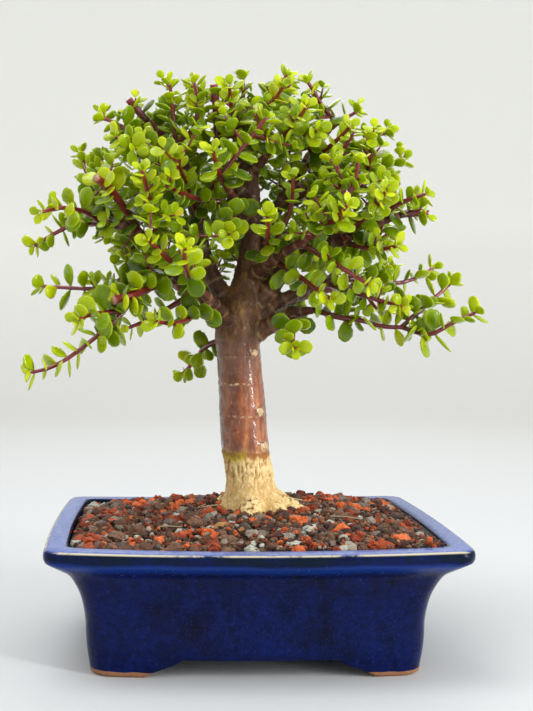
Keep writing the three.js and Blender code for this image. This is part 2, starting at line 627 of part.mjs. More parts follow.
// Stones in rows over the whole surface, each moved from its place by a draw. A quarter of each
// one's radius is sunk in.
function stones() {
  const { columns, rows } = STONE_GRID;
  const [halfX, halfY] = [POT_LENGTH / 2 - LIP_WIDTH - 6, POT_DEPTH / 2 - LIP_WIDTH - 6];
  const made = [];
  for (let k = 0; k < columns * rows; k += 1) {
    const row = Math.floor(k / columns);
    const column = (k % columns) + (row % 2 === 0 ? 0.25 : 0.75) + 0.25 * spread(1, k);
    const x = halfX * ((2 * column) / columns - 1);
    const y = halfY * ((2 * (row + 0.5 + 0.3 * spread(2, k))) / rows - 1);
    const radius = between(...STONE_RADIUS, draw(3, k));
    made.push(solidOf(stone(radius, k).translate(x, y, soilHeight(x, y) - radius / 4)));
  }
  return made;
}

// The soil fills the pot from its floor up. The buried wood and the drain screens are cut out of it.
function makeSoil() {
  const walls = INSIDE.slice(1).reverse().map(([inset, height, cornerRadius], i) => {
    const level = i === 0 ? FLOOR_TOP + GAP : height;
    return potOutline(inset + GAP, cornerRadius, level);
  });
  const edge = potOutline(INSIDE[1][0] + GAP, INSIDE[1][2], SOIL_EDGE);
  const covers = SOIL_RINGS.map((share, round) => edge.map((point, i) => {
    const [x, y] = [point.x * share, point.y * share];
    const bump = round === 0 ? 0 : SOIL_BUMP * spread(20 + round, i);
    return new THREE.Vector3(x, y, soilHeight(x, y) + bump - SOIL_BUMP);
  }));
  const fill = loft([...walls, ...covers]);
  const well = loft([...walls, edge.map((point) => point.clone().setZ(POT_HEIGHT + 30))]);
  let soil = joined([fill, ...stones()]).intersect(well);
  soil = soil.subtract(joined([trunk(STUMP_FIT), ...roots(STUMP_FIT)]));
  const room = SCREEN.side + 2 * GAP;
  const tall = 2 * (SCREEN.thickness + 2 * GAP);
  [-DRAIN_HOLE.offset, DRAIN_HOLE.offset].forEach((x) => {
    soil = soil.subtract(box(room, room, tall, x, 0, FLOOR_TOP));
  });
  return mainPiece(soil);
}

// The leaves

// The outline of a leaf from its left side round the blunt tip to its right side: how far along, and
// how far from the middle as a share of the width. The back is fullest at LEAF_BELLY.
const LEAF_OUTLINE = [[0.5, -0.46], [0.94, -0.27], [0.94, 0.27], [0.5, 0.46]];
const LEAF_BELLY = 0.6;

// The points of a leaf: its outline, then the fullest point of its back. The upper face is flat.
// `grow` makes it larger all round.
function leafPoints({ base, axis, face, length }, grow = 0) {
  const across = new THREE.Vector3().crossVectors(face, axis);
  const width = length * LEAF_WIDTH + 2 * grow;
  const at = (share, side, rise) => base.clone()
    .addScaledVector(axis, share * length + (share > LEAF_BELLY ? grow : 0))
    .addScaledVector(across, side * width)
    .addScaledVector(face, rise);
  const belly = at(LEAF_BELLY, 0, -length * LEAF_THICKNESS - grow);
  return [...LEAF_OUTLINE.map(([share, side]) => at(share, side, grow)), belly];
}

// A leaf on its own, to test what it would touch: from its stem outwards, or only its outer part.
function leafBody(place, grow, whole) {
  const points = leafPoints(place, grow);
  const belly = LEAF_OUTLINE.length;
  const rim = LEAF_OUTLINE.map((_, i) => i);
  if (whole) {
    points.push(place.base.clone());
    rim.push(belly + 1);
  }
  const triangles = rim.map((corner, i) => [rim[(i + 1) % rim.length], corner, belly]);
  for (let i = 1; i + 1 < rim.length; i += 1) {
    triangles.push([rim[0], rim[i], rim[i + 1]]);
  }
  return solid(points, triangles);
}

// Where one leaf of a pair goes. It leans out from the stem, and a little of its direction is turned
// up towards the light.
function leafPlace({ step, lean, length }, angle) {
  const { place, tangent, across, other } = step;
  const out = across.clone().multiplyScalar(Math.cos(angle)).addScaledVector(other, Math.sin(angle));
  const axis = tangent.clone().multiplyScalar(Math.cos(lean)).addScaledVector(out, Math.sin(lean));
  axis.z += LIFT.axis;
  axis.normalize();
  const face = tangent.clone();
  face.z += LIFT.face;
  face.addScaledVector(axis, -face.dot(axis)).normalize();
  return { base: place.clone().addScaledVector(out, LEAF_ROOT), axis, face, length };
}

// The leaf pairs of one stem. Each pair stands opposite, a quarter turn from the pair before, and
// leans more towards the tip the nearer it is to it. A cut stem goes on bare past its last pair.
function leafPairs(spine, from, seed, cut) {
  const room = spine.length - from - (cut ? BARE.cutTip : BARE.tip);
  const count = Math.max(1, Math.round(room / PAIR_SPACING));
  const pairs = [];
  for (let k = 0; k <= count; k += 1) {
    const share = k / count;
    const distance = from + room * share;
    const grown = between(GROWTH.first, cut ? GROWTH.cutTip : GROWTH.tip, share ** 1.5);
    const lean = between(LEAN.first, cut ? LEAN.cutTip : LEAN.tip, share) + LEAN.draw * spread(seed, k + 80);
    pairs.push({
      distance,
      step: spine.at(distance),
      turn: draw(seed, 0) * Math.PI + TURN_DRAW * spread(seed, k + 1),
      lean: THREE.MathUtils.degToRad(lean),
      length: LEAF_LENGTH * grown * (1 + GROWTH.draw * spread(seed, k + 40)),
      leaves: [null, null, null, null],
    });
  }
  return pairs;
}

function boxesMeet(a, b) {
  return [0, 1, 2].every((i) => a.min[i] <= b.max[i] && b.min[i] <= a.max[i]);
}

// Keeps what has been placed, so that a new leaf can be held clear of it.
class Placed {
  constructor() {
    this.things = [];
  }

  add(name, body) {
    this.things.push({ name, body, reach: body.boundingBox() });
  }

  touches(body, except) {
    const reach = body.boundingBox();
    return this.things.some((thing) => !except.includes(thing.name)
      && boxesMeet(reach, thing.reach) && !thing.body.intersect(body).isEmpty());
  }
}

// The same leaf turned, leaning and sized a little differently, tried when its first place is taken.
const TRIES = [[0, 0, 1], [0.22, 0, 1], [-0.22, 0.15, 0.95], [0.1, -0.35, 0.88], [-0.1, 0.35, 0.85]];

// Finds room for both leaves of a pair. The pair's number says which two of the stem's four faces
// they stand on.
function placeLeaves(placed, name, pair, number) {
  [number % 2, (number % 2) + 2].forEach((side) => {
    for (const [lean, turn, scale] of TRIES) {
      const tried = { ...pair, lean: pair.lean + lean, length: pair.length * scale };
      const place = leafPlace(tried, pair.turn + turn + (side * Math.PI) / 2);
      if (placed.touches(leafBody(place, LEAF_CLEARANCE, true), [name, name + " leaf"])) continue;
      if (placed.touches(leafBody(place, 0, false), [])) continue;
      placed.add(name + " leaf", leafBody(place, 0, true));
      pair.leaves[side] = place;
      break;
    }
  });
}

// A leafy stem as one closed skin. Its rings are square, one at each pair. Where a leaf stands, the
// face above its ring is left open in a triangle, and the leaf's two faces grow from that.
function leafyStem(spine, from, radii, pairs) {
  const points = [];
  const triangles = [];
  const addRing = (distance, turn) => {
    const step = spine.at(distance);
    const radius = along(radii, (distance - from) / (spine.length - from));
    points.push(...ring(step.place, step.across, step.other, radius, 4, turn - Math.PI / 4));
    return points.length - 4;
  };
  const addLeaf = ([a, b, c, d], place) => {
    const low = points[a].clone().lerp(points[b], 0.5);
    const high = points[c].clone().lerp(points[d], 0.5);
    const foot = points.length;
    const [left, leftTip, rightTip, right, belly] = [1, 2, 3, 4, 5].map((i) => foot + i);
    points.push(low.clone().lerp(high, Math.min(0.7, LEAF_FOOT / low.distanceTo(high))));
    points.push(...leafPoints(place));
    triangles.push([b, c, foot], [c, d, foot], [d, a, foot]);
    triangles.push([foot, left, right], [right, left, leftTip], [right, leftTip, rightTip]);
    triangles.push([foot, a, left], [b, foot, right]);
    const back = [a, b, right, rightTip, leftTip, left];
    back.forEach((point, i) => triangles.push([point, back[(i + 1) % back.length], belly]));
  };
  const addBand = (low, high, leaves) => {
    leaves.forEach((place, i) => {
      const next = (i + 1) % 4;
      const [a, b, c, d] = [low + i, low + next, high + next, high + i];
      if (place) addLeaf([a, b, c, d], place);
      else triangles.push([a, b, c], [a, c, d]);
    });
  };
  let last = addRing(from, pairs[0].turn);
  let leaves = [null, null, null, null];
  triangles.push([last, last + 2, last + 1], [last, last + 3, last + 2]);
  [...pairs, { distance: spine.length, turn: pairs.at(-1).turn }].forEach((pair) => {
    const next = addRing(pair.distance, pair.turn);
    addBand(last, next, leaves);
    [last, leaves] = [next, pair.leaves];
  });
  triangles.push([last, last + 1, last + 2], [last, last + 2, last + 3]);
  return solid(points, triangles);
}

// The stems of a spray, with the distance at which each starts, its leaf pairs and the room that the
// leaves of other sprays leave it.
function stemsOf(spray, main, order) {
  const start = woodenLength(spray) + (spray.limb ? 0.5 : GAP);
  const stems = [{ spine: main, from: start, radii: [STEM.base, spray.cut ? STEM.cutEnd : STEM.tip] }];
  (spray.sides ?? []).forEach((points) => {
    stems.push({ spine: new Spine(points), from: 0, radii: [STEM.sideBase, STEM.tip] });
  });
  stems.forEach((stem, branch) => {
    const first = stem.from + (branch === 0 ? BARE.main : BARE.side);
    stem.pairs = leafPairs(stem.spine, first, order * 7 + branch + 1, spray.cut && branch === 0);
    const wide = stem.radii.map((radius) => radius + STEM_CLEARANCE);
    stem.room = bar(stem.spine, stem.from, stem.spine.length, wide, 6, 8);
  });
  return stems;
}

function makeSprays(wood, spines) {
  const placed = new Placed();
  placed.add("wood", wood);
  const names = Object.keys(SPRAYS);
  const sprays = names.map((name, order) => stemsOf(SPRAYS[name], spines[name], order));
  sprays.forEach((stems, order) => stems.forEach(({ room }) => placed.add(names[order], room)));
  return Object.fromEntries(names.map((name, order) => {
    const bodies = sprays[order].map(({ spine, from, radii, pairs }) => {
      pairs.forEach((pair, number) => placeLeaves(placed, name, pair, number));
      return leafyStem(spine, from, radii, pairs);
    });
    return [name, mainPiece(joined(bodies))];
  }));
}

// The whole object

function finish(color, roughness, metalness = 0) {
  return new THREE.MeshStandardMaterial({ color, roughness, metalness });
}

const spines = {};
Object.entries(SPRAYS).forEach(([name, spray]) => {
  spines[name] = new Spine(sprayPoints(spray));
});
const wood = makeWood(spines);
const sprays = makeSprays(wood, spines);

const pieces = [
  ["pot", makePot(), finish(GLAZE_BLUE, 0.15)],
  ["soil", makeSoil(), finish(SOIL_BROWN, 0.95)],
  ["drain_screen_left", makeScreen(-DRAIN_HOLE.offset), finish(SCREEN_BLACK, 0.6)],
  ["drain_screen_right", makeScreen(DRAIN_HOLE.offset), finish(SCREEN_BLACK, 0.6)],
  ["wood", wood, finish(BARK_BROWN, 0.6)],
];
Object.entries(sprays).forEach(([name, body], i) => {
  pieces.push([name, body, finish(i % 3 === 0 ? OLD_LEAF_GREEN : LEAF_GREEN, 0.35)]);
});

const bonsai = new THREE.Group();
const reach = new THREE.Box3();
pieces.forEach(([name, body, material]) => {
  const mesh = new THREE.Mesh(geometryOf(body), material);
  mesh.name = name;
  mesh.geometry.computeBoundingBox();
  reach.union(mesh.geometry.boundingBox);
  bonsai.add(mesh);
});
const middle = reach.getCenter(new THREE.Vector3());
bonsai.position.set(-middle.x, -middle.y, -reach.min.z);

export default bonsai;
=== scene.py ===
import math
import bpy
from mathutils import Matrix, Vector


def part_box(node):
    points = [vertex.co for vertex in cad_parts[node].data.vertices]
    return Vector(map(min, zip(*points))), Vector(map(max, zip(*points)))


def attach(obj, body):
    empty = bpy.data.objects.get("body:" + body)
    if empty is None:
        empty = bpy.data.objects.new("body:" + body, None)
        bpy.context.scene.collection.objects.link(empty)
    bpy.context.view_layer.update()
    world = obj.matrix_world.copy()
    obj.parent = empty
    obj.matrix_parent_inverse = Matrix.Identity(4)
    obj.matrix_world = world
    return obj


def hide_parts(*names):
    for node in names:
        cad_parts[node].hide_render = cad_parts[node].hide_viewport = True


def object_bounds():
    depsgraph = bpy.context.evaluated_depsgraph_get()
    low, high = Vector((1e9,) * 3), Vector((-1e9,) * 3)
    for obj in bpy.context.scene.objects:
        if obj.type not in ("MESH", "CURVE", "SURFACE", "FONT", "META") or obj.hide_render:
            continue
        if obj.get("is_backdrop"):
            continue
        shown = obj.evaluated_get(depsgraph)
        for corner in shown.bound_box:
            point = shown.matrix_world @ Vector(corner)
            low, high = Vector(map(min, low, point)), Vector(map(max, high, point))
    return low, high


bl_info = {
    "name": "Dwarf jade bonsai",
    "version": (1, 0, 0),
    "blender": (4, 5, 0),
    "location": "3D Viewport > Sidebar > Bonsai",
    "description": "A dwarf jade bonsai with its glazed pot, gritty soil, bark and leaves",
    "category": "Object",
}

import bpy
import numpy as np

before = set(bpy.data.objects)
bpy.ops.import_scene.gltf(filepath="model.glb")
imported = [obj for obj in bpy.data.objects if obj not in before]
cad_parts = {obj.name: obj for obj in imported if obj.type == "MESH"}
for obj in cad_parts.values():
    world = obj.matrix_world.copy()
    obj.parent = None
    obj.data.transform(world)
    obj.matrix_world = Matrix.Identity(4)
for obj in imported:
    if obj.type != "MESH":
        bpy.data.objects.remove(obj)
CAD_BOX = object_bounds()

# Sizes and places are millimetres, measured from the middle of the pot at its feet. X runs along
# the front of the pot, Y runs from the front to the back, Z is up.
POT_LOW, POT_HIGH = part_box("pot")
POT_MIDDLE = np.array([(POT_LOW.x + POT_HIGH.x) / 2, (POT_LOW.y + POT_HIGH.y) / 2, 0.0])

HALF_LENGTH = 127.0  # of the lip's outline, corner to corner
HALF_DEPTH = 99.0
POT_HEIGHT = 82.0
LONG_BOW = 5.5  # how far a long side swells outwards halfway
SHORT_BOW = 3.0
LIP_SAG = 1.5  # how far the lip dips halfway along a long side
SAG_START = 66.0  # height where the walls start to dip with the lip
FLOOR_TOP = 17.0
FLOOR_UNDERSIDE = 10.0
FRONT_ARCH = (97.0, 139.0, 11.5, 2.0)  # width at the top, at the bottom, height, middle
SIDE_ARCH = (50.0, 85.0, 9.5, 0.0)
ARCH_REACH = 14.0  # no arch reaches higher than this
DRAIN_HOLES = (-55.0, 55.0)
DRAIN_RADIUS = 10.0
POT_SIDES = 320  # points round the pot
PROFILE_STEP = 2.6  # between the rings of its wall

# Profiles of the pot: how far in from the lip's edge, height, corner radius
FOOT_INSIDE = [(44, 9.8, 6), (42.6, 7, 6), (42, 2.5, 6), (40.6, 0.6, 7), (38.5, 0, 8)]
OUTSIDE = [
    (28, 0, 12), (26.2, 0.9, 12), (25.4, 6, 12), (24, 16, 12), (23.4, 25, 12), (23, 34, 12),
    (21, 46, 11), (18, 55, 10), (13.5, 63, 10), (7.5, 68, 9), (2, 72, 9), (0.1, 74, 9),
    (-0.5, 77, 9), (-0.2, 80.4, 9), (0.6, 81.6, 9),
]
INSIDE = [
    (2.2, 82, 9), (11, 81.9, 8), (12.4, 81.2, 8), (13.2, 79, 8), (13.5, 73, 8), (22, 58, 9),
    (28.5, 30, 10), (31, 17.6, 10), (34, 17, 9),
]

SOIL_EDGE = 79.8  # height of the soil at the pot's wall
SOIL_CROWN = 8.0  # how much higher it is in the middle
SOIL_TILT = 2.0  # how much higher it is at the right wall, and lower at the left
SOIL_BANK = (5.0, 45.0, 40.0)  # heaped up behind the trunk: rise, its middle along Y, reach
SOIL_HALF_LENGTH = 114.5
SOIL_HALF_DEPTH = 86.5
SOIL_SIDES, SOIL_RINGS = 300, 76  # points round the soil, and rings from its edge to the middle
# The soil against the pot: how far in from the lip's edge, height, corner radius
SOIL_WALLS = [(31, 18.6, 10), (28.5, 30, 10), (22, 58, 9), (13.5, 73, 8)]
WALL_GAP = 0.3  # between the soil and the pot's wall
BED_DROP = 1.6  # how far the fine soil lies below the height that the stones follow
BED_GRAIN, BED_CELL = 0.9, 3.2  # how rough the fine soil is: height, size

# Stones. Half length and half depth of the field that they are laid and strewn over
STONE_FIELD = (113, 86)
CRUMB_FIELD = (112.0, 86.0)
CRUMBS = 4200  # strewn over the soil before those at the walls are left out
ROW_PITCH = 0.87  # between rows, as a share of the spacing
LUMP_RADIUS, LUMPS = 2.4, 6  # a lava stone larger than this carries so many lumps
WALL_ROOM = (113.4, 85.4)  # from the middle to the walls at the corners, along X and along Y
WALL_HALF = (114, 86)  # half lengths over which the walls swell
TRUNK_FOOT = (5.5, 15, 22)  # x, y and radius kept free of stones
# Kinds: piece, its colour setting, contrast and scale of its speckles, share of the stones and of
# the crumbs
STONE_KINDS = [
    ("stones_lava", "lava", 0.55, 700, 0.28, 0.16),
    ("stones_pumice", "pumice", 0.45, 500, 0.23, 0.1),
    ("stones_dark", "dark", 0.7, 500, 0.46, 0.72),
    ("stones_husk", "seed", 0.3, 600, 0.03, 0.02),
]

# The trunk and its leader: x, y, height, radius
TRUNK = [
    (6, 15, 40, 13), (6, 15, 58, 22), (6, 15, 74, 27), (5.5, 15, 85, 24), (5, 15, 92, 20.5),
    (4.3, 15, 100, 18), (3.6, 15, 108, 16.4), (1.8, 15, 120.5, 15.7), (0, 15, 134, 16.4),
    (-1.8, 15, 162, 15.9), (-3.2, 15, 182, 15.3), (-4.6, 15, 200, 15.3), (-4.8, 15, 212, 15.6),
    (-3, 15.5, 224, 14.5), (0, 16, 236, 11.5), (3, 17, 252, 9), (5.5, 18, 280, 7.7),
    (3.6, 16, 308, 7), (1.5, 15, 322, 6.2),
]

# Roots that leave the flare: points, then radii from the trunk outwards
ROOTS = [
    ([(8, 14, 99), (26, 10, 91), (42, 6, 83), (56, 2, 72)], [10, 7, 4.5, 3]),
    ([(4, 8, 96), (2, -8, 86), (-2, -24, 74), (-6, -38, 62)], [10, 8, 5, 3]),
    ([(0, 14, 96), (-15, 9, 83), (-28, 3, 71), (-40, -2, 60)], [10, 7, 5, 3]),
    ([(6, 20, 96), (11, 36, 86), (14, 50, 75), (16, 62, 64)], [10, 8, 5, 3]),
    ([(0, 20, 96), (-14, 33, 85), (-26, 46, 72)], [9, 7, 4]),
    ([(10, 10, 95), (24, -5, 84), (36, -18, 72)], [8, 6, 3.5]),
]

# Limbs: points and radii. Each starts on the axis of the one that carries it.
LIMBS = {
    "left": ([
        (-4, 14, 206), (-20, 10, 222), (-38, 3, 241), (-51, -3, 255), (-68, -10, 272),
        (-85, -14, 283),
    ], [8.5, 7.6, 6.6, 5.8, 4.8, 3.2]),
    "left_high": ([
        (-4, 16, 216), (-17, 19, 238), (-27, 21, 262), (-34, 19, 296), (-42, 12, 325),
        (-55, 6, 342), (-66, 3, 352),
    ], [7.5, 6.6, 5.6, 5, 4.4, 3.6, 2.8]),
    "middle_stub": ([(4, 16, 300), (-8, 10, 312), (-20, 2, 326)], [4.4, 3.8, 3]),
    "low_right": ([(0, 14, 204), (16, 9, 213), (30, 3, 221), (44, -4, 224)], [8, 6.6, 5.2, 4]),
    "right": ([
        (2, 16, 222), (16, 12, 238), (28, 5, 253), (39, -2, 262), (58, -9, 268), (77, -15, 278),
        (98, -20, 286),
    ], [7.5, 6.6, 5.8, 5, 4.2, 3.6, 2.8]),
    "right_arm": ([(2, 15, 212), (18, 13, 226), (34, 8, 236), (50, 4, 243), (67, 0, 245)],
                  [6.5, 5.4, 4.4, 3.6, 2.8]),
    "right_crown": ([
        (4, 17, 250), (14, 20, 272), (24, 23, 296), (38, 26, 320), (50, 27, 338), (61, 26, 352),
    ], [6, 5.2, 4.6, 4, 3.4, 2.6]),
    "right_high": ([(27, 24, 301), (42, 16, 306), (54, 9, 311), (62, 5, 322)], [3.8, 3.4, 3, 2.4]),
    "right_fork": ([(56, -8, 267), (59, -10, 279), (64, -12, 291), (72, -13, 302)],
                   [3.4, 3.1, 2.8, 2.4]),
    "top_left": ([(2, 15, 316), (-3, 17, 336), (-7, 19, 348)], [5, 4, 3]),
    "top_right": ([(2, 15, 314), (11, 11, 327), (19, 6, 335)], [4.6, 3.6, 2.8]),
    "front_left": ([(-5, 12, 210), (-20, -6, 226), (-32, -28, 236), (-40, -48, 243)],
                   [6, 4.8, 3.8, 2.6]),
    "front_right": ([(3, 14, 246), (16, -6, 257), (30, -30, 266), (42, -52, 273)],
                    [5, 4.2, 3.4, 2.6]),
    "front_high": ([(4, 14, 284), (-6, -6, 295), (-16, -28, 305)], [4.2, 3.4, 2.6]),
    "back_left": ([(-4, 18, 206), (-22, 38, 223), (-42, 60, 240), (-60, 80, 252)],
                  [7, 5.6, 4.2, 2.8]),
    "back_right": ([(0, 20, 234), (18, 42, 250), (38, 64, 263), (56, 84, 272)], [6, 5, 3.8, 2.6]),
    "back_middle": ([(5, 18, 272), (1, 38, 290), (-5, 60, 305), (-9, 78, 316)],
                    [5, 4.2, 3.4, 2.5]),
    "back_crown_left": ([(-30, 21, 274), (-46, 38, 288), (-62, 56, 300), (-74, 72, 308)],
                        [4.2, 3.6, 3, 2.4]),
    "back_crown_right": ([(28, 24, 303), (42, 42, 314), (54, 60, 325)], [3.8, 3.2, 2.4]),
    "back_low_right": ([(2, 17, 216), (28, 32, 230), (54, 48, 238), (78, 60, 242)],
                       [6.5, 5.2, 4, 2.8]),
}

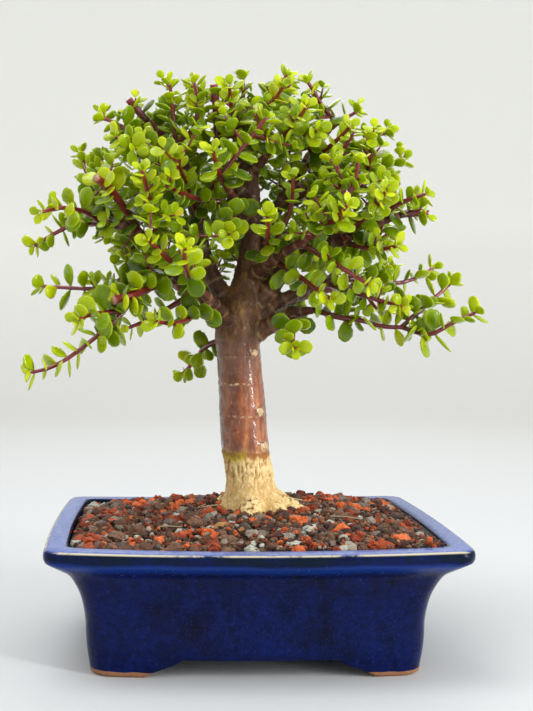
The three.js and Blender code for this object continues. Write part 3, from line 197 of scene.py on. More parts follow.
# Sprays: where the stem runs, how much of it is wood, side stems, and if it was cut off short
SPRAYS = {
    "spray_low_left": {"collar": 11, "stem": [
        (-60, -7, 264), (-69, -16, 246), (-80, -29, 226), (-92, -36, 213), (-105, -42, 202),
        (-117, -45, 193), (-128, -49, 187), (-140, -52, 184),
    ], "sides": [
        [(-74, -22, 236), (-88, -20, 238), (-108, -18, 238), (-125, -16, 239), (-138, -14, 240)],
        [(-82, -31, 223), (-94, -44, 222), (-103, -54, 220), (-109, -62, 217)],
    ]},
    "spray_left_stub": {"collar": 12, "cut": True, "stem": [
        (-48, -2, 252), (-60, -22, 241), (-74, -40, 234), (-88, -52, 229),
    ]},
    "spray_left": {"collar": 11, "stem": [
        (-78, -12, 279), (-96, -8, 281), (-113, -2, 283), (-127, 2, 278), (-145, 6, 268),
    ], "sides": [
        [(-96, -8, 281), (-108, -24, 288), (-120, -38, 289), (-134, -50, 285)],
    ]},
    "spray_left_end": {"limb": "left", "stem": [
        (-97, -2, 296), (-106, 14, 308), (-111, 26, 323), (-116, 34, 337),
    ]},
    "spray_left_high": {"collar": 10, "cut": True, "stem": [
        (-70, -10, 273), (-82, -28, 290), (-91, -43, 301), (-99, -54, 306),
    ]},
    "spray_left_crown": {"collar": 9, "stem": [
        (-45, 11, 329), (-60, -9, 331), (-74, -25, 332), (-88, -36, 335),
    ], "sides": [
        [(-64, -14, 332), (-76, -8, 342), (-88, -4, 350), (-98, -2, 354)],
    ]},
    "spray_high_left": {"limb": "left_high", "cut": True, "stem": [(-74, 1, 360), (-80, -1, 367)]},
    "spray_high_left_back": {"collar": 8, "stem": [
        (-55, 6, 342), (-68, 22, 350), (-78, 38, 352), (-88, 50, 350),
    ], "sides": [
        [(-66, 19, 349), (-58, 30, 360), (-48, 38, 368), (-38, 44, 374)],
    ]},
    "spray_mast_left": {"collar": 16, "stem": [
        (-36, 18, 303), (-44, 3, 321), (-48, -8, 338), (-50, -12, 356), (-52, -14, 374),
    ], "sides": [
        [(-47, -6, 335), (-36, -14, 346), (-34, -18, 360), (-36, -20, 374)],
    ]},
    "spray_thick_cut": {"limb": "middle_stub", "cut": True, "stem": [
        (-20, -5, 342), (-21, -11, 359), (-23, -15, 374),
    ], "sides": [
        [(-20, -3, 338), (-10, -14, 340), (2, -24, 338), (12, -34, 334)],
    ]},
    "spray_top": {"limb": "top_left", "stem": [
        (-4, 15, 362), (-1, 11, 374), (-2, 9, 385),
    ], "sides": [
        [(-6, 17, 355), (-18, 16, 366), (-28, 12, 374), (-38, 8, 378)],
    ]},
    "spray_top_right": {"collar": 8, "stem": [
        (-5, 18, 342), (8, 28, 360), (21, 36, 374), (32, 42, 383),
    ], "sides": [
        [(4, 24, 354), (14, 14, 366), (22, 6, 376), (28, 0, 384)],
    ]},
    "spray_right_cut": {"limb": "top_right", "cut": True, "stem": [
        (28, -3, 344), (35, -11, 353), (39, -17, 363),
    ]},
    "spray_right_crown": {"limb": "right_crown", "stem": [(71, 23, 359), (80, 21, 364)], "sides": [
        [(66, 25, 356), (56, 16, 364), (48, 10, 374), (42, 6, 382)],
    ]},
    "spray_right_crown_front": {"collar": 8, "stem": [
        (38, 26, 320), (50, 8, 330), (60, -12, 338), (66, -26, 344),
    ], "sides": [
        [(48, 11, 329), (40, -4, 338), (38, -18, 342), (44, -32, 340)],
    ]},
    "spray_right_high": {"limb": "right_high", "stem": [(66, -1, 333), (72, -6, 344)], "sides": [
        [(64, 1, 329), (76, 6, 338), (88, 8, 344), (98, 8, 346)],
    ]},
    "spray_right_fork": {"limb": "right_fork", "stem": [
        (82, -10, 312), (94, -4, 320), (108, 4, 328),
    ], "sides": [
        [(78, -12, 308), (79, -20, 318), (79, -27, 328), (78, -31, 337)],
    ]},
    "spray_right_tall": {"collar": 8, "cut": True, "stem": [
        (76, -15, 278), (91, -3, 290), (99, 8, 303), (106, 14, 313),
    ]},
    "spray_right": {"collar": 8, "stem": [
        (84, -17, 281), (94, -27, 291), (102, -34, 295), (112, -40, 298),
    ]},
    "spray_right_end": {"limb": "right", "cut": True, "stem": [(110, -22, 288), (118, -24, 287)]},
    "spray_right_low_front": {"collar": 8, "stem": [
        (62, -11, 270), (74, -25, 265), (84, -36, 263), (92, -46, 264),
    ]},
    "spray_right_arm": {"limb": "right_arm", "stem": [
        (85, 6, 245), (104, 12, 243), (120, 16, 247), (133, 20, 254),
    ]},
    "spray_right_drop": {"collar": 9, "stem": [
        (52, 3, 243), (67, -13, 237), (82, -25, 231), (98, -36, 226),
    ]},
    "spray_low_right": {"limb": "low_right", "stem": [
        (61, -14, 219), (74, -20, 217), (88, -26, 213), (100, -30, 212), (112, -35, 207),
    ], "sides": [
        [(98, -29, 212), (112, -24, 223), (124, -20, 233), (135, -16, 242)],
        [(100, -30, 212), (114, -40, 208), (127, -46, 215), (141, -50, 222)],
    ]},
    "spray_behind_trunk": {"collar": 21, "stem": [
        (-4, 16, 204), (-20, 28, 202), (-28, 42, 196), (-34, 54, 187), (-42, 62, 178),
    ]},
    "spray_front_left": {"limb": "front_left", "stem": [
        (-42, -62, 246), (-44, -76, 252), (-44, -88, 260),
    ]},
    "spray_front_left_high": {"collar": 11, "stem": [
        (-30, -24, 234), (-42, -32, 246), (-56, -46, 258), (-66, -62, 266),
    ]},
    "spray_front_left_low": {"collar": 8, "stem": [
        (-24, -13, 229), (-38, -30, 219), (-50, -46, 215), (-62, -58, 216),
    ]},
    "spray_front_right": {"limb": "front_right", "stem": [
        (48, -68, 278), (54, -82, 286),
    ], "sides": [
        [(46, -62, 276), (56, -60, 290), (62, -62, 304), (64, -66, 316)],
    ]},
    "spray_front_middle": {"collar": 12, "stem": [
        (14, -3, 255), (12, -24, 264), (10, -44, 272), (8, -60, 282),
    ], "sides": [
        [(12, -22, 263), (22, -30, 278), (26, -38, 294), (26, -46, 308)],
    ]},
    "spray_front_right_low": {"collar": 7, "stem": [
        (32, -33, 267), (46, -50, 256), (58, -66, 246), (68, -76, 238),
    ]},
    "spray_front_right_drop": {"collar": 8, "stem": [
        (17, -8, 258), (32, -26, 246), (42, -44, 236), (48, -58, 230),
    ]},
    "spray_front_high": {"limb": "front_high", "stem": [
        (-22, -46, 312), (-26, -62, 322),
    ], "sides": [
        [(-20, -40, 309), (-10, -46, 322), (0, -50, 334), (8, -54, 344)],
    ]},
    "spray_front_left_mid": {"collar": 10, "stem": [
        (-7, -8, 296), (-26, -18, 296), (-42, -34, 298), (-56, -50, 302),
    ]},
    "spray_front_low": {"collar": 7, "stem": [
        (-6, -6, 295), (-10, -26, 286), (-14, -44, 276), (-16, -60, 270),
    ]},
    "spray_left_front": {"collar": 8, "stem": [
        (-61, -7, 266), (-62, -28, 281), (-66, -46, 296), (-70, -60, 310),
    ]},
    "spray_crown_front": {"collar": 8, "stem": [
        (-31, 20, 284), (-36, 0, 296), (-42, -22, 308), (-48, -42, 320),
    ], "sides": [
        [(-35, 2, 295), (-24, -8, 306), (-16, -18, 318), (-14, -28, 328)],
    ]},
    "spray_top_front_right": {"collar": 6, "stem": [
        (16, 7, 333), (24, -16, 340), (30, -36, 346), (34, -50, 352),
    ]},
    "spray_top_front": {"collar": 6, "stem": [
        (-3, 17, 336), (-8, -4, 348), (-12, -22, 360), (-14, -36, 368),
    ], "sides": [
        [(-8, -2, 347), (6, -10, 354), (16, -18, 362), (22, -26, 370)],
    ]},
    "spray_right_droop": {"collar": 8, "stem": [
        (32, 2, 221), (30, -14, 212), (28, -28, 204), (28, -40, 199),
    ]},
    "spray_right_front": {"collar": 7, "stem": [
        (66, -11, 272), (72, -32, 282), (78, -52, 291), (80, -68, 296),
    ], "sides": [
        [(70, -26, 279), (62, -34, 292), (56, -40, 306), (54, -44, 320)],
    ]},
    "spray_left_hang": {"collar": 10, "stem": [
        (-34, 5, 237), (-52, 4, 226), (-66, 0, 218), (-80, -4, 212),
    ]},
    "spray_back_left": {"limb": "back_left", "stem": [
        (-72, 94, 256), (-82, 106, 262), (-90, 116, 270),
    ], "sides": [
        [(-72, 94, 256), (-88, 92, 250), (-102, 90, 242), (-114, 88, 232)],
    ]},
    "spray_back_left_in": {"collar": 9, "stem": [
        (-32, 49, 232), (-28, 70, 242), (-26, 88, 252), (-28, 104, 262),
    ]},
    "spray_back_left_out": {"collar": 9, "stem": [
        (-42, 60, 240), (-62, 58, 258), (-82, 60, 270), (-102, 64, 280),
    ]},
    "spray_back_right": {"limb": "back_right", "stem": [(66, 98, 278), (74, 110, 286)]},
    "spray_back_right_in": {"collar": 9, "stem": [
        (28, 53, 257), (20, 74, 266), (12, 92, 274), (6, 106, 284),
    ]},
    "spray_back_middle": {"limb": "back_middle", "stem": [
        (-12, 92, 322), (-14, 104, 330),
    ], "sides": [
        [(-11, 88, 320), (6, 92, 334), (20, 92, 344)],
    ]},
    "spray_back_top": {"collar": 7, "stem": [
        (-2, 50, 299), (2, 56, 322), (2, 58, 344), (0, 60, 360),
    ]},
    "spray_back_crown_left": {"limb": "back_crown_left", "stem": [
        (-84, 84, 314), (-92, 92, 324),
    ], "sides": [
        [(-80, 79, 311), (-66, 92, 322), (-52, 98, 332)],
    ]},
    "spray_back_high_left": {"collar": 8, "stem": [
        (-46, 38, 288), (-48, 50, 312), (-48, 58, 332), (-46, 62, 350),
    ]},
    "spray_back_crown_right": {"limb": "back_crown_right", "stem": [
        (62, 74, 332), (68, 84, 342),
    ], "sides": [
        [(60, 70, 330), (74, 62, 330), (90, 56, 332)],
    ]},
    "spray_back_low_right": {"limb": "back_low_right", "stem": [
        (92, 70, 243), (106, 78, 248), (118, 84, 256),
    ], "sides": [
        [(92, 70, 243), (96, 56, 232), (102, 46, 222)],
    ]},
    "spray_back_low": {"collar": 10, "stem": [
        (28, 32, 230), (36, 54, 226), (42, 74, 224), (46, 92, 226),
    ]},
    "spray_back_right_out": {"collar": 8, "stem": [
        (54, 48, 238), (72, 44, 256), (90, 42, 270), (106, 40, 280),
    ]},
}
COLLAR_RADII = (2.9, 2.4)  # the short woody start of a spray
LIMB_END = 3.0  # wood past a limb's last point, before its spray
STEM_BASE, SIDE_BASE, STEM_TIP = 2.1, 1.65, 1.15  # radii of young stems
CUT_BASE, CUT_TIP = 2.4, 2.7  # radii of a stem that was cut off short
# Open arms, which bear single pairs of leaves, and how large those are
OPEN_ARMS = {"spray_low_left": 1.2, "spray_right_arm": 1.0, "spray_low_right": 1.1}
BARE_MAIN, BARE_SIDE, BARE_TIP, BARE_CUT = 4.0, 8.0, 2.5, 7.0  # stem without leaves at its ends
CUT_ROOM = 5.0  # kept free of leaves round the end of a cut stem
CAD_SPACING = 15.5  # between the pairs that the solid shows; here a stem has twice as many
# Turn, lean and size to try in turn for a leaf that would touch another
TRIES = [(0, 0, 1), (0.22, 0, 1), (-0.22, 0.15, 0.95), (0.1, -0.35, 0.88), (-0.1, 0.35, 0.85)]

# Marks on the trunk seen from the front: x, height, radius, how far it stands out
KNOBS = [(9.2, 155, 3.0, 1.5), (12.2, 131, 3.4, 1.4), (5.8, 195, 2.6, 1.2)]
KNOB_FRONT = 15  # knobs stand only in front of this place along Y
TRUNK_RINGS = [(152.0, 0.35), (173.7, 0.45), (192.3, 0.3), (205.0, 0.35)]  # height, relief
# Where rings are pale: height, strength, and where on the front they start and end
PALE_RINGS = [(152, 0.6, -12, 13), (173.7, 0.9, -17, 2), (192.3, 0.25, -17, 9)]
CORK_FOOT, CORK_TOP = 70, 127  # heights between which the trunk is corky
CRACK_START = 104  # height from which the cork's cracks are deeper
LEDGE = 126.5  # height of the ledge above the cork
FORK_START = 200  # height from which the trunk is as rough as a limb
SCAR_SPACING, SCAR_PLACE, SCAR_WIDTH = 11.5, 5.7, 0.9  # leaf scars along a limb
TRUNK_MARK = 1000.0  # stands for the distance along, where the trunk is nearest
RELAX_ROUNDS = 4

# Pale rootlets and straws on the soil: points on the surface, and their radius
ROOTLETS = [
    ([(20, 13, 1.5), (27, 9, 2.2), (34, 6, 1.6), (42, 5, 1.2)], 0.55),
    ([(-14, 8, 1.4), (-21, 3, 3.0), (-29, 1, 2.6), (-33, 6, 1.4), (-27, 11, 1.6)], 0.4),
    ([(22, 16, 3.2), (33, 14, 3.4), (41, 17, 1.6)], 0.8),
    ([(-60, -46, 2.2), (-52, -50, 3.0), (-45, -49, 2.0)], 0.4),
    ([(52, -30, 2.4), (62, -34, 3.2), (70, -32, 2.0)], 0.4),
]


def color(red, green, blue):
    """A colour given as 0 to 255, turned to the linear values that a material holds."""
    parts = np.array([red, green, blue]) / 255
    linear = np.where(parts > 0.04045, ((parts + 0.055) / 1.055) ** 2.4, parts / 12.92)
    return tuple(float(value) for value in linear)


def dim(shade, amount):
    """A colour times a number."""
    return tuple(amount * value for value in shade)


# Settings


def hue(name, description, *parts):
    """A colour setting whose default is given as 0 to 255."""
    return bpy.props.FloatVectorProperty(
        name=name, description=description, default=color(*parts), subtype="COLOR", size=3,
        min=0, max=1,
    )


def size(name, description, millimetres):
    """A length setting whose default is given in millimetres."""
    return bpy.props.FloatProperty(
        name=name, description=description, default=millimetres / 1000, min=0,
        subtype="DISTANCE", unit="LENGTH", precision=4,
    )


def share(name, description, value, top=1.0):
    """A plain number from 0 to top."""
    return bpy.props.FloatProperty(
        name=name, description=description, default=value, min=0, max=top, subtype="FACTOR",
    )


class PotSettings(bpy.types.PropertyGroup):
    """Colours and finish of the glazed pot."""

    deep: hue("Deep glaze", "Where the glaze lies thick", 2, 6, 30)
    bright: hue("Bright glaze", "Where the glaze lies thin", 5, 22, 84)
    fleck: hue("Glaze fleck", "Fine bright flecks", 22, 62, 150)
    # The lip's colour is a painted reflection of the bright room on its top face.
    lip: hue("Lip", "The top face of the lip", 108, 124, 180)
    band: hue("Dark band", "Where the glaze ran thick under the lip's edge", 5, 22, 36)
    edge: hue("Edge line", "Where the glaze broke on the lip's edge", 206, 196, 168)
    clay: hue("Bare clay", "The unglazed bottom of the feet", 178, 126, 92)
    clay_height: size("Clay height", "How far the bare clay reaches up a foot", 3.4)
    roughness: share("Roughness", "Of the glaze", 0.16)


class SoilSettings(bpy.types.PropertyGroup):
    """Grain and colours of the soil."""

    lava: hue("Lava", "Red lava stones", 236, 116, 56)
    pumice: hue("Pumice", "Grey green stones", 186, 186, 172)
    dark: hue("Dark grit", "Dark grit and bark", 124, 90, 66)
    seed: hue("Seed husk", "A few pale husks", 206, 158, 98)
    bed: hue("Bed", "The fine soil between the stones", 48, 35, 29)
    spacing: size("Spacing", "Between the middles of neighbouring stones", 5.4)
    smallest: size("Smallest stone", "Radius", 1.6)
    largest: size("Largest stone", "Radius", 6.8)


class WoodSettings(bpy.types.PropertyGroup):
    """Colours and relief of the bark."""

    satin: hue("Satin bark", "The middle of the trunk", 148, 74, 32)
    glow: hue("Bright bark", "Where the satin bark is palest", 208, 130, 72)
    limb: hue("Limb bark", "Older limbs", 86, 49, 19)
    cork: hue("Cork", "The base of the trunk", 220, 178, 108)
    fissure: hue("Fissures", "The cracks in the cork", 96, 70, 30)
    moss: hue("Green band", "Lichen on the ledge above the cork", 196, 178, 52)
    ring: hue("Rings", "Leaf scars, knobs and old rings", 214, 178, 128)
    voxel: size("Grain of the mesh", "Size of the cells that join the limbs", 1.05)
    ridge: size("Cork relief", "How deep the cork's cracks are", 1.1)


class LeafSettings(bpy.types.PropertyGroup):
    """Size and colours of the leaves and young stems."""

    length: size("Leaf length", "Of a full grown leaf", 14)
    width: share("Leaf width", "As a share of its length", 0.84)
    thickness: share("Leaf thickness", "As a share of its length", 0.17)
    young: hue("Young leaf", "Leaves at the tips", 192, 204, 8)
    grown: hue("Grown leaf", "Most leaves", 124, 154, 2)
    # The darkest green: the oldest leaves, and as painted shade the leaves deep in the crown.
    shaded: hue("Shaded leaf", "The oldest leaves", 70, 98, 2)
    # The paler rim of a leaf: partly its own margin colour, partly a painted highlight.
    margin: hue("Leaf margin", "The edge of a leaf", 200, 204, 36)
    stem: hue("Young stem", "Red stems", 104, 22, 24)
    old_stem: hue("Old stem", "Where a stem turns to wood", 84, 40, 22)
    scar: hue("Cut end", "Where a shoot was cut", 186, 150, 110)


class StageSettings(bpy.types.PropertyGroup):
    """The floor, the light and the camera."""

    floor: hue("Floor", "The floor under the pot", 206, 208, 209)
    # Dimmed, this colour is also the painted shade where the floor bends up.
    backdrop: hue("Backdrop", "Where the floor turns up all round", 238, 238, 234)
    lens: bpy.props.FloatProperty(
        name="Lens", description="Focal length on a 36 mm sensor", default=52.15, min=10,
        subtype="DISTANCE_CAMERA", unit="CAMERA",
    )
    sky: share("Sky", "Strength of the light from all round", 0.8, 4)
    key: bpy.props.FloatProperty(
        name="Key light", description="Power of the main light", default=17, min=0,
        unit="POWER",
    )


# Curves and surfaces


def between(low, high, amount):
    """The value that lies the given share of the way from low to high."""
    return low + (high - low) * amount


def draw(seed, count):
    """A number from 0 to 1: the part after the point of a large sine."""
    value = np.sin(seed * 127.1 + count * 311.7 + 74.7) * 43758.5453
    return value - np.floor(value)


def spread(seed, count):
    """The same number turned to the range -1 to 1."""
    return 2 * draw(seed, count) - 1


def unit(vectors):
    """Each vector divided by its own length."""
    return vectors / np.maximum(np.linalg.norm(vectors, axis=-1, keepdims=True), 1e-12)


def smooth_curve(points, step):
    """Points at even steps along a cubic curve. Between two given points it is a cubic that leaves
    and arrives with half the way from the point before to the point after. The rows may hold more
    than three values, which run along with the place."""
    given = np.asarray(points, float)
    ends = np.vstack([2 * given[0] - given[1], given, 2 * given[-1] - given[-2]])
    along = np.linspace(0, len(given) - 1, 40 * (len(given) - 1) + 1)
    stretch = np.minimum(along.astype(int), len(given) - 2)
    t = (along - stretch)[:, None]
    before, start, end, after = (ends[stretch + k] for k in range(4))
    leave, arrive = (end - before) / 2, (after - start) / 2
    fine = (
        (2 * t**3 - 3 * t**2 + 1) * start + (t**3 - 2 * t**2 + t) * leave
        + (3 * t**2 - 2 * t**3) * end + (t**3 - t**2) * arrive
    )
    gone = np.r_[0, np.cumsum(np.linalg.norm(np.diff(fine[:, :3], axis=0), axis=1))]
    count = max(2, math.ceil(gone[-1] / step) + 1)
    stops = np.linspace(0, gone[-1], count)
    return stops, np.stack([np.interp(stops, gone, column) for column in fine.T], axis=1)


class Spine:
    """A smooth curve with, at each of its stops, its direction and two directions square to it.
    The first square direction is carried along: at each stop it loses the part that lies along
    the curve and is made one long again."""

    def __init__(self, points, step=1.5):
        self.stops, self.places = smooth_curve(points, step)
        self.length = self.stops[-1]
        self.tangents = unit(np.gradient(self.places, self.stops, axis=0))
        first = self.tangents[0]
        side = np.array([0.0, 1.0, 0.0] if abs(first[2]) > 0.9 else [0.0, 0.0, 1.0])
        carried = []
        for tangent in self.tangents:
            side = unit(side - tangent * (side @ tangent))
            carried.append(side)
        self.across = np.array(carried)

    def at(self, distances):
        """Place, direction and the two square directions at each distance."""
        distances = np.atleast_1d(distances)

        def read(rows):
            """The rows at the distances, evenly between one stop and the next."""
            return np.stack([np.interp(distances, self.stops, c) for c in rows.T], axis=1)

        tangent = unit(read(self.tangents))
        across = read(self.across)
        across = unit(across - tangent * np.sum(across * tangent, axis=1, keepdims=True))
        return read(self.places), tangent, across, np.cross(tangent, across)


def skin(rings, end=None):
    """Points and faces of a closed skin over rings, an array of rings by points by 3. Four-sided
    faces join each ring to the next, and a fan closes each end from a middle point."""
    count, sides = rings.shape[:2]
    start = rings[0].mean(axis=0)
    end = rings[-1].mean(axis=0) if end is None else end
    points = np.vstack([rings.reshape(-1, 3), start, end])
    here = np.arange(sides)
    beside = (here + 1) % sides
    row = sides * np.arange(count - 1)[:, None]
    quads = np.stack([row + here, row + beside, row + sides + beside, row + sides + here], -1)
    first, last = count * sides, count * sides + 1
    tail = (count - 1) * sides
    fans = np.vstack([
        np.stack([np.full(sides, first), beside, here], -1),
        np.stack([np.full(sides, last), tail + here, tail + beside], -1),
    ])
    return points, quads.reshape(-1, 4), fans


def tube(spine, distances, radii, sides, round_end=True):
    """A closed tube: circles of the given radii round the spine, each point at
    place + radius * (cos(angle) * across + sin(angle) * other), with a domed far end."""
    distances, radii = np.asarray(distances, float), np.asarray(radii, float)
    if round_end:
        last = radii[-1]
        distances = np.r_[distances[:-1], distances[-1] - last, distances[-1] - 0.4 * last,
                          distances[-1] - 0.08 * last]
        radii = np.r_[radii[:-1], last, 0.8 * last, 0.4 * last]
    places, _, across, other = spine.at(distances)
    angle = np.linspace(0, 2 * np.pi, sides, endpoint=False)[None, :, None]
    rings = places[:, None] + radii[:, None, None] * (
        np.cos(angle) * across[:, None] + np.sin(angle) * other[:, None]
    )
    end = spine.at(distances[-1] + 0.08 * radii[-1])[0][0]
    return skin(rings, end=end if round_end else None)


def pack(parts):
    """Several (points, quads, triangles) put together as one."""
    points, quads, fans, gone = [], [], [], 0
    for part_points, part_quads, part_fans in parts:
        points.append(part_points)
        quads.append(part_quads + gone)
        fans.append(part_fans + gone)
        gone += len(part_points)
    return np.vstack(points), np.vstack(quads), np.vstack(fans)


def lattice_noise(points, seed):
    """Smooth noise from -1 to 1: a random number at each corner of a grid of cells one unit wide,
    blended across a cell by 3t^2 - 2t^3 along each axis."""
    cell = np.floor(points).astype(np.int64)
    t = points - cell
    t = t * t * (3 - 2 * t)
    table = np.random.default_rng(seed).uniform(-1, 1, 4096)
    total = np.zeros(len(points))
    for corner in np.ndindex(2, 2, 2):
        place = cell + corner
        key = (place[:, 0] * 73856093) ^ (place[:, 1] * 19349663) ^ (place[:, 2] * 83492791)
        weight = np.prod(np.where(np.array(corner) == 1, t, 1 - t), axis=1)
        total += weight * table[key & 4095]
    return total


def layered_noise(points, seed):
    """Lattice noise summed over three layers, each twice as fine and half as strong."""
    return sum(lattice_noise(points * 2**k, seed + k) / 2**k for k in range(3))


def to_frame(points):
    """Millimetres from the pot's middle, turned to metres in the frame."""
    return points / 1000 + POT_MIDDLE


def to_millimetres(points):
    """Metres in the frame, turned to millimetres from the pot's middle."""
    return (points - POT_MIDDLE) * 1000


def corners_of(mesh):
    """The places of a mesh's points as an array in metres."""
    places = np.empty(3 * len(mesh.vertices), np.float32)
    mesh.vertices.foreach_get("co", places)
    return places.reshape(-1, 3).astype(float)


def set_values(mesh, name, values):
    """Stores one number, or three, for each point."""
    kind, field = ("FLOAT", "value") if values.ndim == 1 else ("FLOAT_VECTOR", "vector")
    layer = mesh.attributes.new(name, kind, "POINT")
    layer.data.foreach_set(field, values.astype(np.float32).ravel())


def new_piece(name, points, quads, fans, smooth=True):
    """An object at the origin whose mesh holds the points, given in millimetres, and the faces."""
    mesh = bpy.data.meshes.new(name)
    mesh.vertices.add(len(points))
    mesh.vertices.foreach_set("co", to_frame(points).astype(np.float32).ravel())
    corners = np.concatenate([quads.ravel(), fans.ravel()])
    starts = np.concatenate([np.arange(len(quads)) * 4, 4 * len(quads) + np.arange(len(fans)) * 3])
    mesh.loops.add(len(corners))
    mesh.loops.foreach_set("vertex_index", corners.astype(np.int32))
    mesh.polygons.add(len(starts))
    mesh.polygons.foreach_set("loop_start", starts.astype(np.int32))
    mesh.polygons.foreach_set("use_smooth", np.full(len(starts), smooth))
    mesh.update(calc_edges=True)
    piece = bpy.data.objects.new(name, mesh)
    bpy.context.scene.collection.objects.link(piece)
    return piece


def finished_mesh(piece):
    """The piece's mesh with its modifiers worked in, and the modifiers taken off."""
    evaluated = piece.evaluated_get(bpy.context.evaluated_depsgraph_get())
    mesh = bpy.data.meshes.new_from_object(evaluated)
    mesh.name = piece.name
    piece.modifiers.clear()
    piece.data = mesh
    return mesh


def belongs(piece, slot, *nodes):
    """The piece stands on the one body and stands for the nodes, whose solids it hides; its slot is
    not used.
    """
    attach(piece, "root")
    if nodes:
        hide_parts(*nodes)


# Materials


class Paint:
    """A material under construction: its nodes are added one at a time, each with its inputs."""

    def __init__(self, name):
        self.material = bpy.data.materials.new(name)
        self.material.use_nodes = True
        self.tree = self.material.node_tree
        self.tree.nodes.clear()

    def add(self, kind, settings=None, **inputs):
        """Adds a node. An input is named by its socket, or by i and its number, and is a value or
        the output of another node."""
        node = self.tree.nodes.new("ShaderNode" + kind)
        for key, value in (settings or {}).items():
            setattr(node, key, value)
        for key, value in inputs.items():
            number = key[1:] if key[0] == "i" and key[1:].isdigit() else None
            socket = node.inputs[int(number)] if number else node.inputs[key.replace("_", " ")]
            if isinstance(value, bpy.types.NodeSocket):
                self.tree.links.new(value, socket)
            else:
                wide = socket.type == "RGBA" and len(value) == 3
                socket.default_value = (*value, 1) if wide else value
        return node

    def place(self, scale):
        """Object coordinates in metres, times the scale."""
        spot = self.add("TexCoord").outputs["Object"]
        return self.add("Mapping", Vector=spot, Scale=scale).outputs[0]

    def noise(self, scale, detail=3.0, roughness=0.55, stretch=(1, 1, 1), distortion=0.0):
        """Noise over the object. The scale counts waves in a metre."""
        return self.add(
            "TexNoise", Vector=self.place(stretch), Scale=scale, Detail=detail,
            Roughness=roughness, Distortion=distortion,
        ).outputs["Fac"]

    def steps(self, value, *stops):
        """A ramp from value to colour or brightness. A stop is a place and a colour or number."""
        node = self.add("ValToRGB", Fac=value)
        ramp = node.color_ramp
        while len(ramp.elements) < len(stops):
            ramp.elements.new(0.5)
        for element, (place, _) in zip(ramp.elements, stops):
            element.position = place
        for element, (_, shade) in zip(ramp.elements, stops):
            plain = (shade, shade, shade) if isinstance(shade, (int, float)) else tuple(shade)
            element.color = (*plain[:3], 1)
        return node.outputs["Color"]

    def mix(self, amount, first, second, blend="MIX"):
        """The second colour laid over the first by an amount, or blended with it."""
        options = {"data_type": "RGBA", "blend_type": blend, "clamp_factor": True}
        return self.add("Mix", options, i0=amount, i6=first, i7=second).outputs[2]

    def math(self, operation, first, second=0.0, clamp=False):
        """One step of arithmetic."""
        options = {"operation": operation, "use_clamp": clamp}
        return self.add("Math", options, i0=first, i1=second).outputs[0]

    def times(self, first, second):
        """The product of two values."""
        return self.math("MULTIPLY", first, second)

    def plus(self, first, second, clamp=False):
        """The sum of two values."""
        return self.math("ADD", first, second, clamp)

    def minus(self, first, second):
        """The difference of two values."""
        return self.math("SUBTRACT", first, second)

    def span(self, value, low, high, start=0.0, end=1.0):
        """The value's way from low to high, turned to start to end and kept within them."""
        return self.add("MapRange", i0=value, i1=low, i2=high, i3=start, i4=end).outputs[0]

    def stored(self, name):
        """The numbers that the mesh stores under a name: one, and three."""
        node = self.add("Attribute", {"attribute_name": name})
        parts = self.add("SeparateXYZ", Vector=node.outputs["Vector"]).outputs
        return node.outputs["Fac"], parts

    def height(self):
        """Height over the floor in metres."""
        spot = self.add("TexCoord").outputs["Object"]
        return self.add("SeparateXYZ", Vector=spot).outputs["Z"]

    def side(self):
        """Place along X in millimetres from the middle of the pot."""
        spot = self.add("TexCoord").outputs["Object"]
        x = self.add("SeparateXYZ", Vector=spot).outputs["X"]
        return self.times(self.minus(x, float(POT_MIDDLE[0])), 1000)

    def bump(self, height, distance, strength=1.0, under=None):
        """A relief of the given depth in metres."""
        more = {"Normal": under} if under is not None else {}
        return self.add(
            "Bump", Height=height, Distance=distance, Strength=strength, **more
        ).outputs[0]

    def finish(self, **inputs):
        """Ends the material with a Principled shader."""
        shader = self.add("BsdfPrincipled", **inputs)
        self.add("OutputMaterial", Surface=shader.outputs[0])
        return self.material


# The pot


def pot_outline(inset, corner, height, sides):
    """A ring round the pot. It is a rounded rectangle, inset from the lip's edge, whose long sides
    swell by bow * (1 - (x / half)^2) * y / half, and the short sides likewise. Near the lip it dips
    by sag * (1 - (x / half)^2). Its points are spread evenly over the rounded rectangle."""
    half_x, half_y = HALF_LENGTH - inset, HALF_DEPTH - inset
    straight_x, straight_y = 2 * (half_x - corner), 2 * (half_y - corner)
    arc = math.pi * corner / 2
    runs = np.cumsum([0, arc, straight_x, arc, straight_y, arc, straight_x, arc, straight_y])
    far = np.linspace(0, runs[-1], sides, endpoint=False)
    section = np.searchsorted(runs, far, side="right") - 1
    gone = far - runs[section]
    quarter = section // 2
    sign_x = np.array([1, -1, -1, 1])[quarter]
    sign_y = np.array([1, 1, -1, -1])[quarter]
    angle = quarter * math.pi / 2 + np.where(section % 2 == 0, gone / corner, math.pi / 2)
    x = sign_x * (half_x - corner) + corner * np.cos(angle)
    y = sign_y * (half_y - corner) + corner * np.sin(angle)
    on_side = section % 2 == 1
    x = x + np.where(on_side, gone * np.array([-1, 0, 1, 0])[quarter], 0)
    y = y + np.where(on_side, gone * np.array([0, -1, 0, 1])[quarter], 0)
    curve_x, curve_y = 1 - (x / half_x) ** 2, 1 - (y / half_y) ** 2
    sag = LIP_SAG * max(0, (height - SAG_START) / (POT_HEIGHT - SAG_START))
    return np.stack([
        x + SHORT_BOW * np.maximum(curve_y, 0) * x / half_x,
        y + LONG_BOW * np.maximum(curve_x, 0) * y / half_y,
        height - sag * np.maximum(curve_x, 0),
    ], axis=1)


def arch_height(run, arch):
    """Height of an arch's soffit at a distance along the wall. Its ends come down on the S curve
    3s^2 - 2s^3, read backwards: s = 1/2 - sin(asin(1 - 2e) / 3)."""
    top, bottom, height, middle = arch
    eased = np.clip((bottom / 2 - np.abs(run - middle)) / ((bottom - top) / 2), 0, 1)
    return height * (0.5 - np.sin(np.arcsin(1 - 2 * eased) / 3))


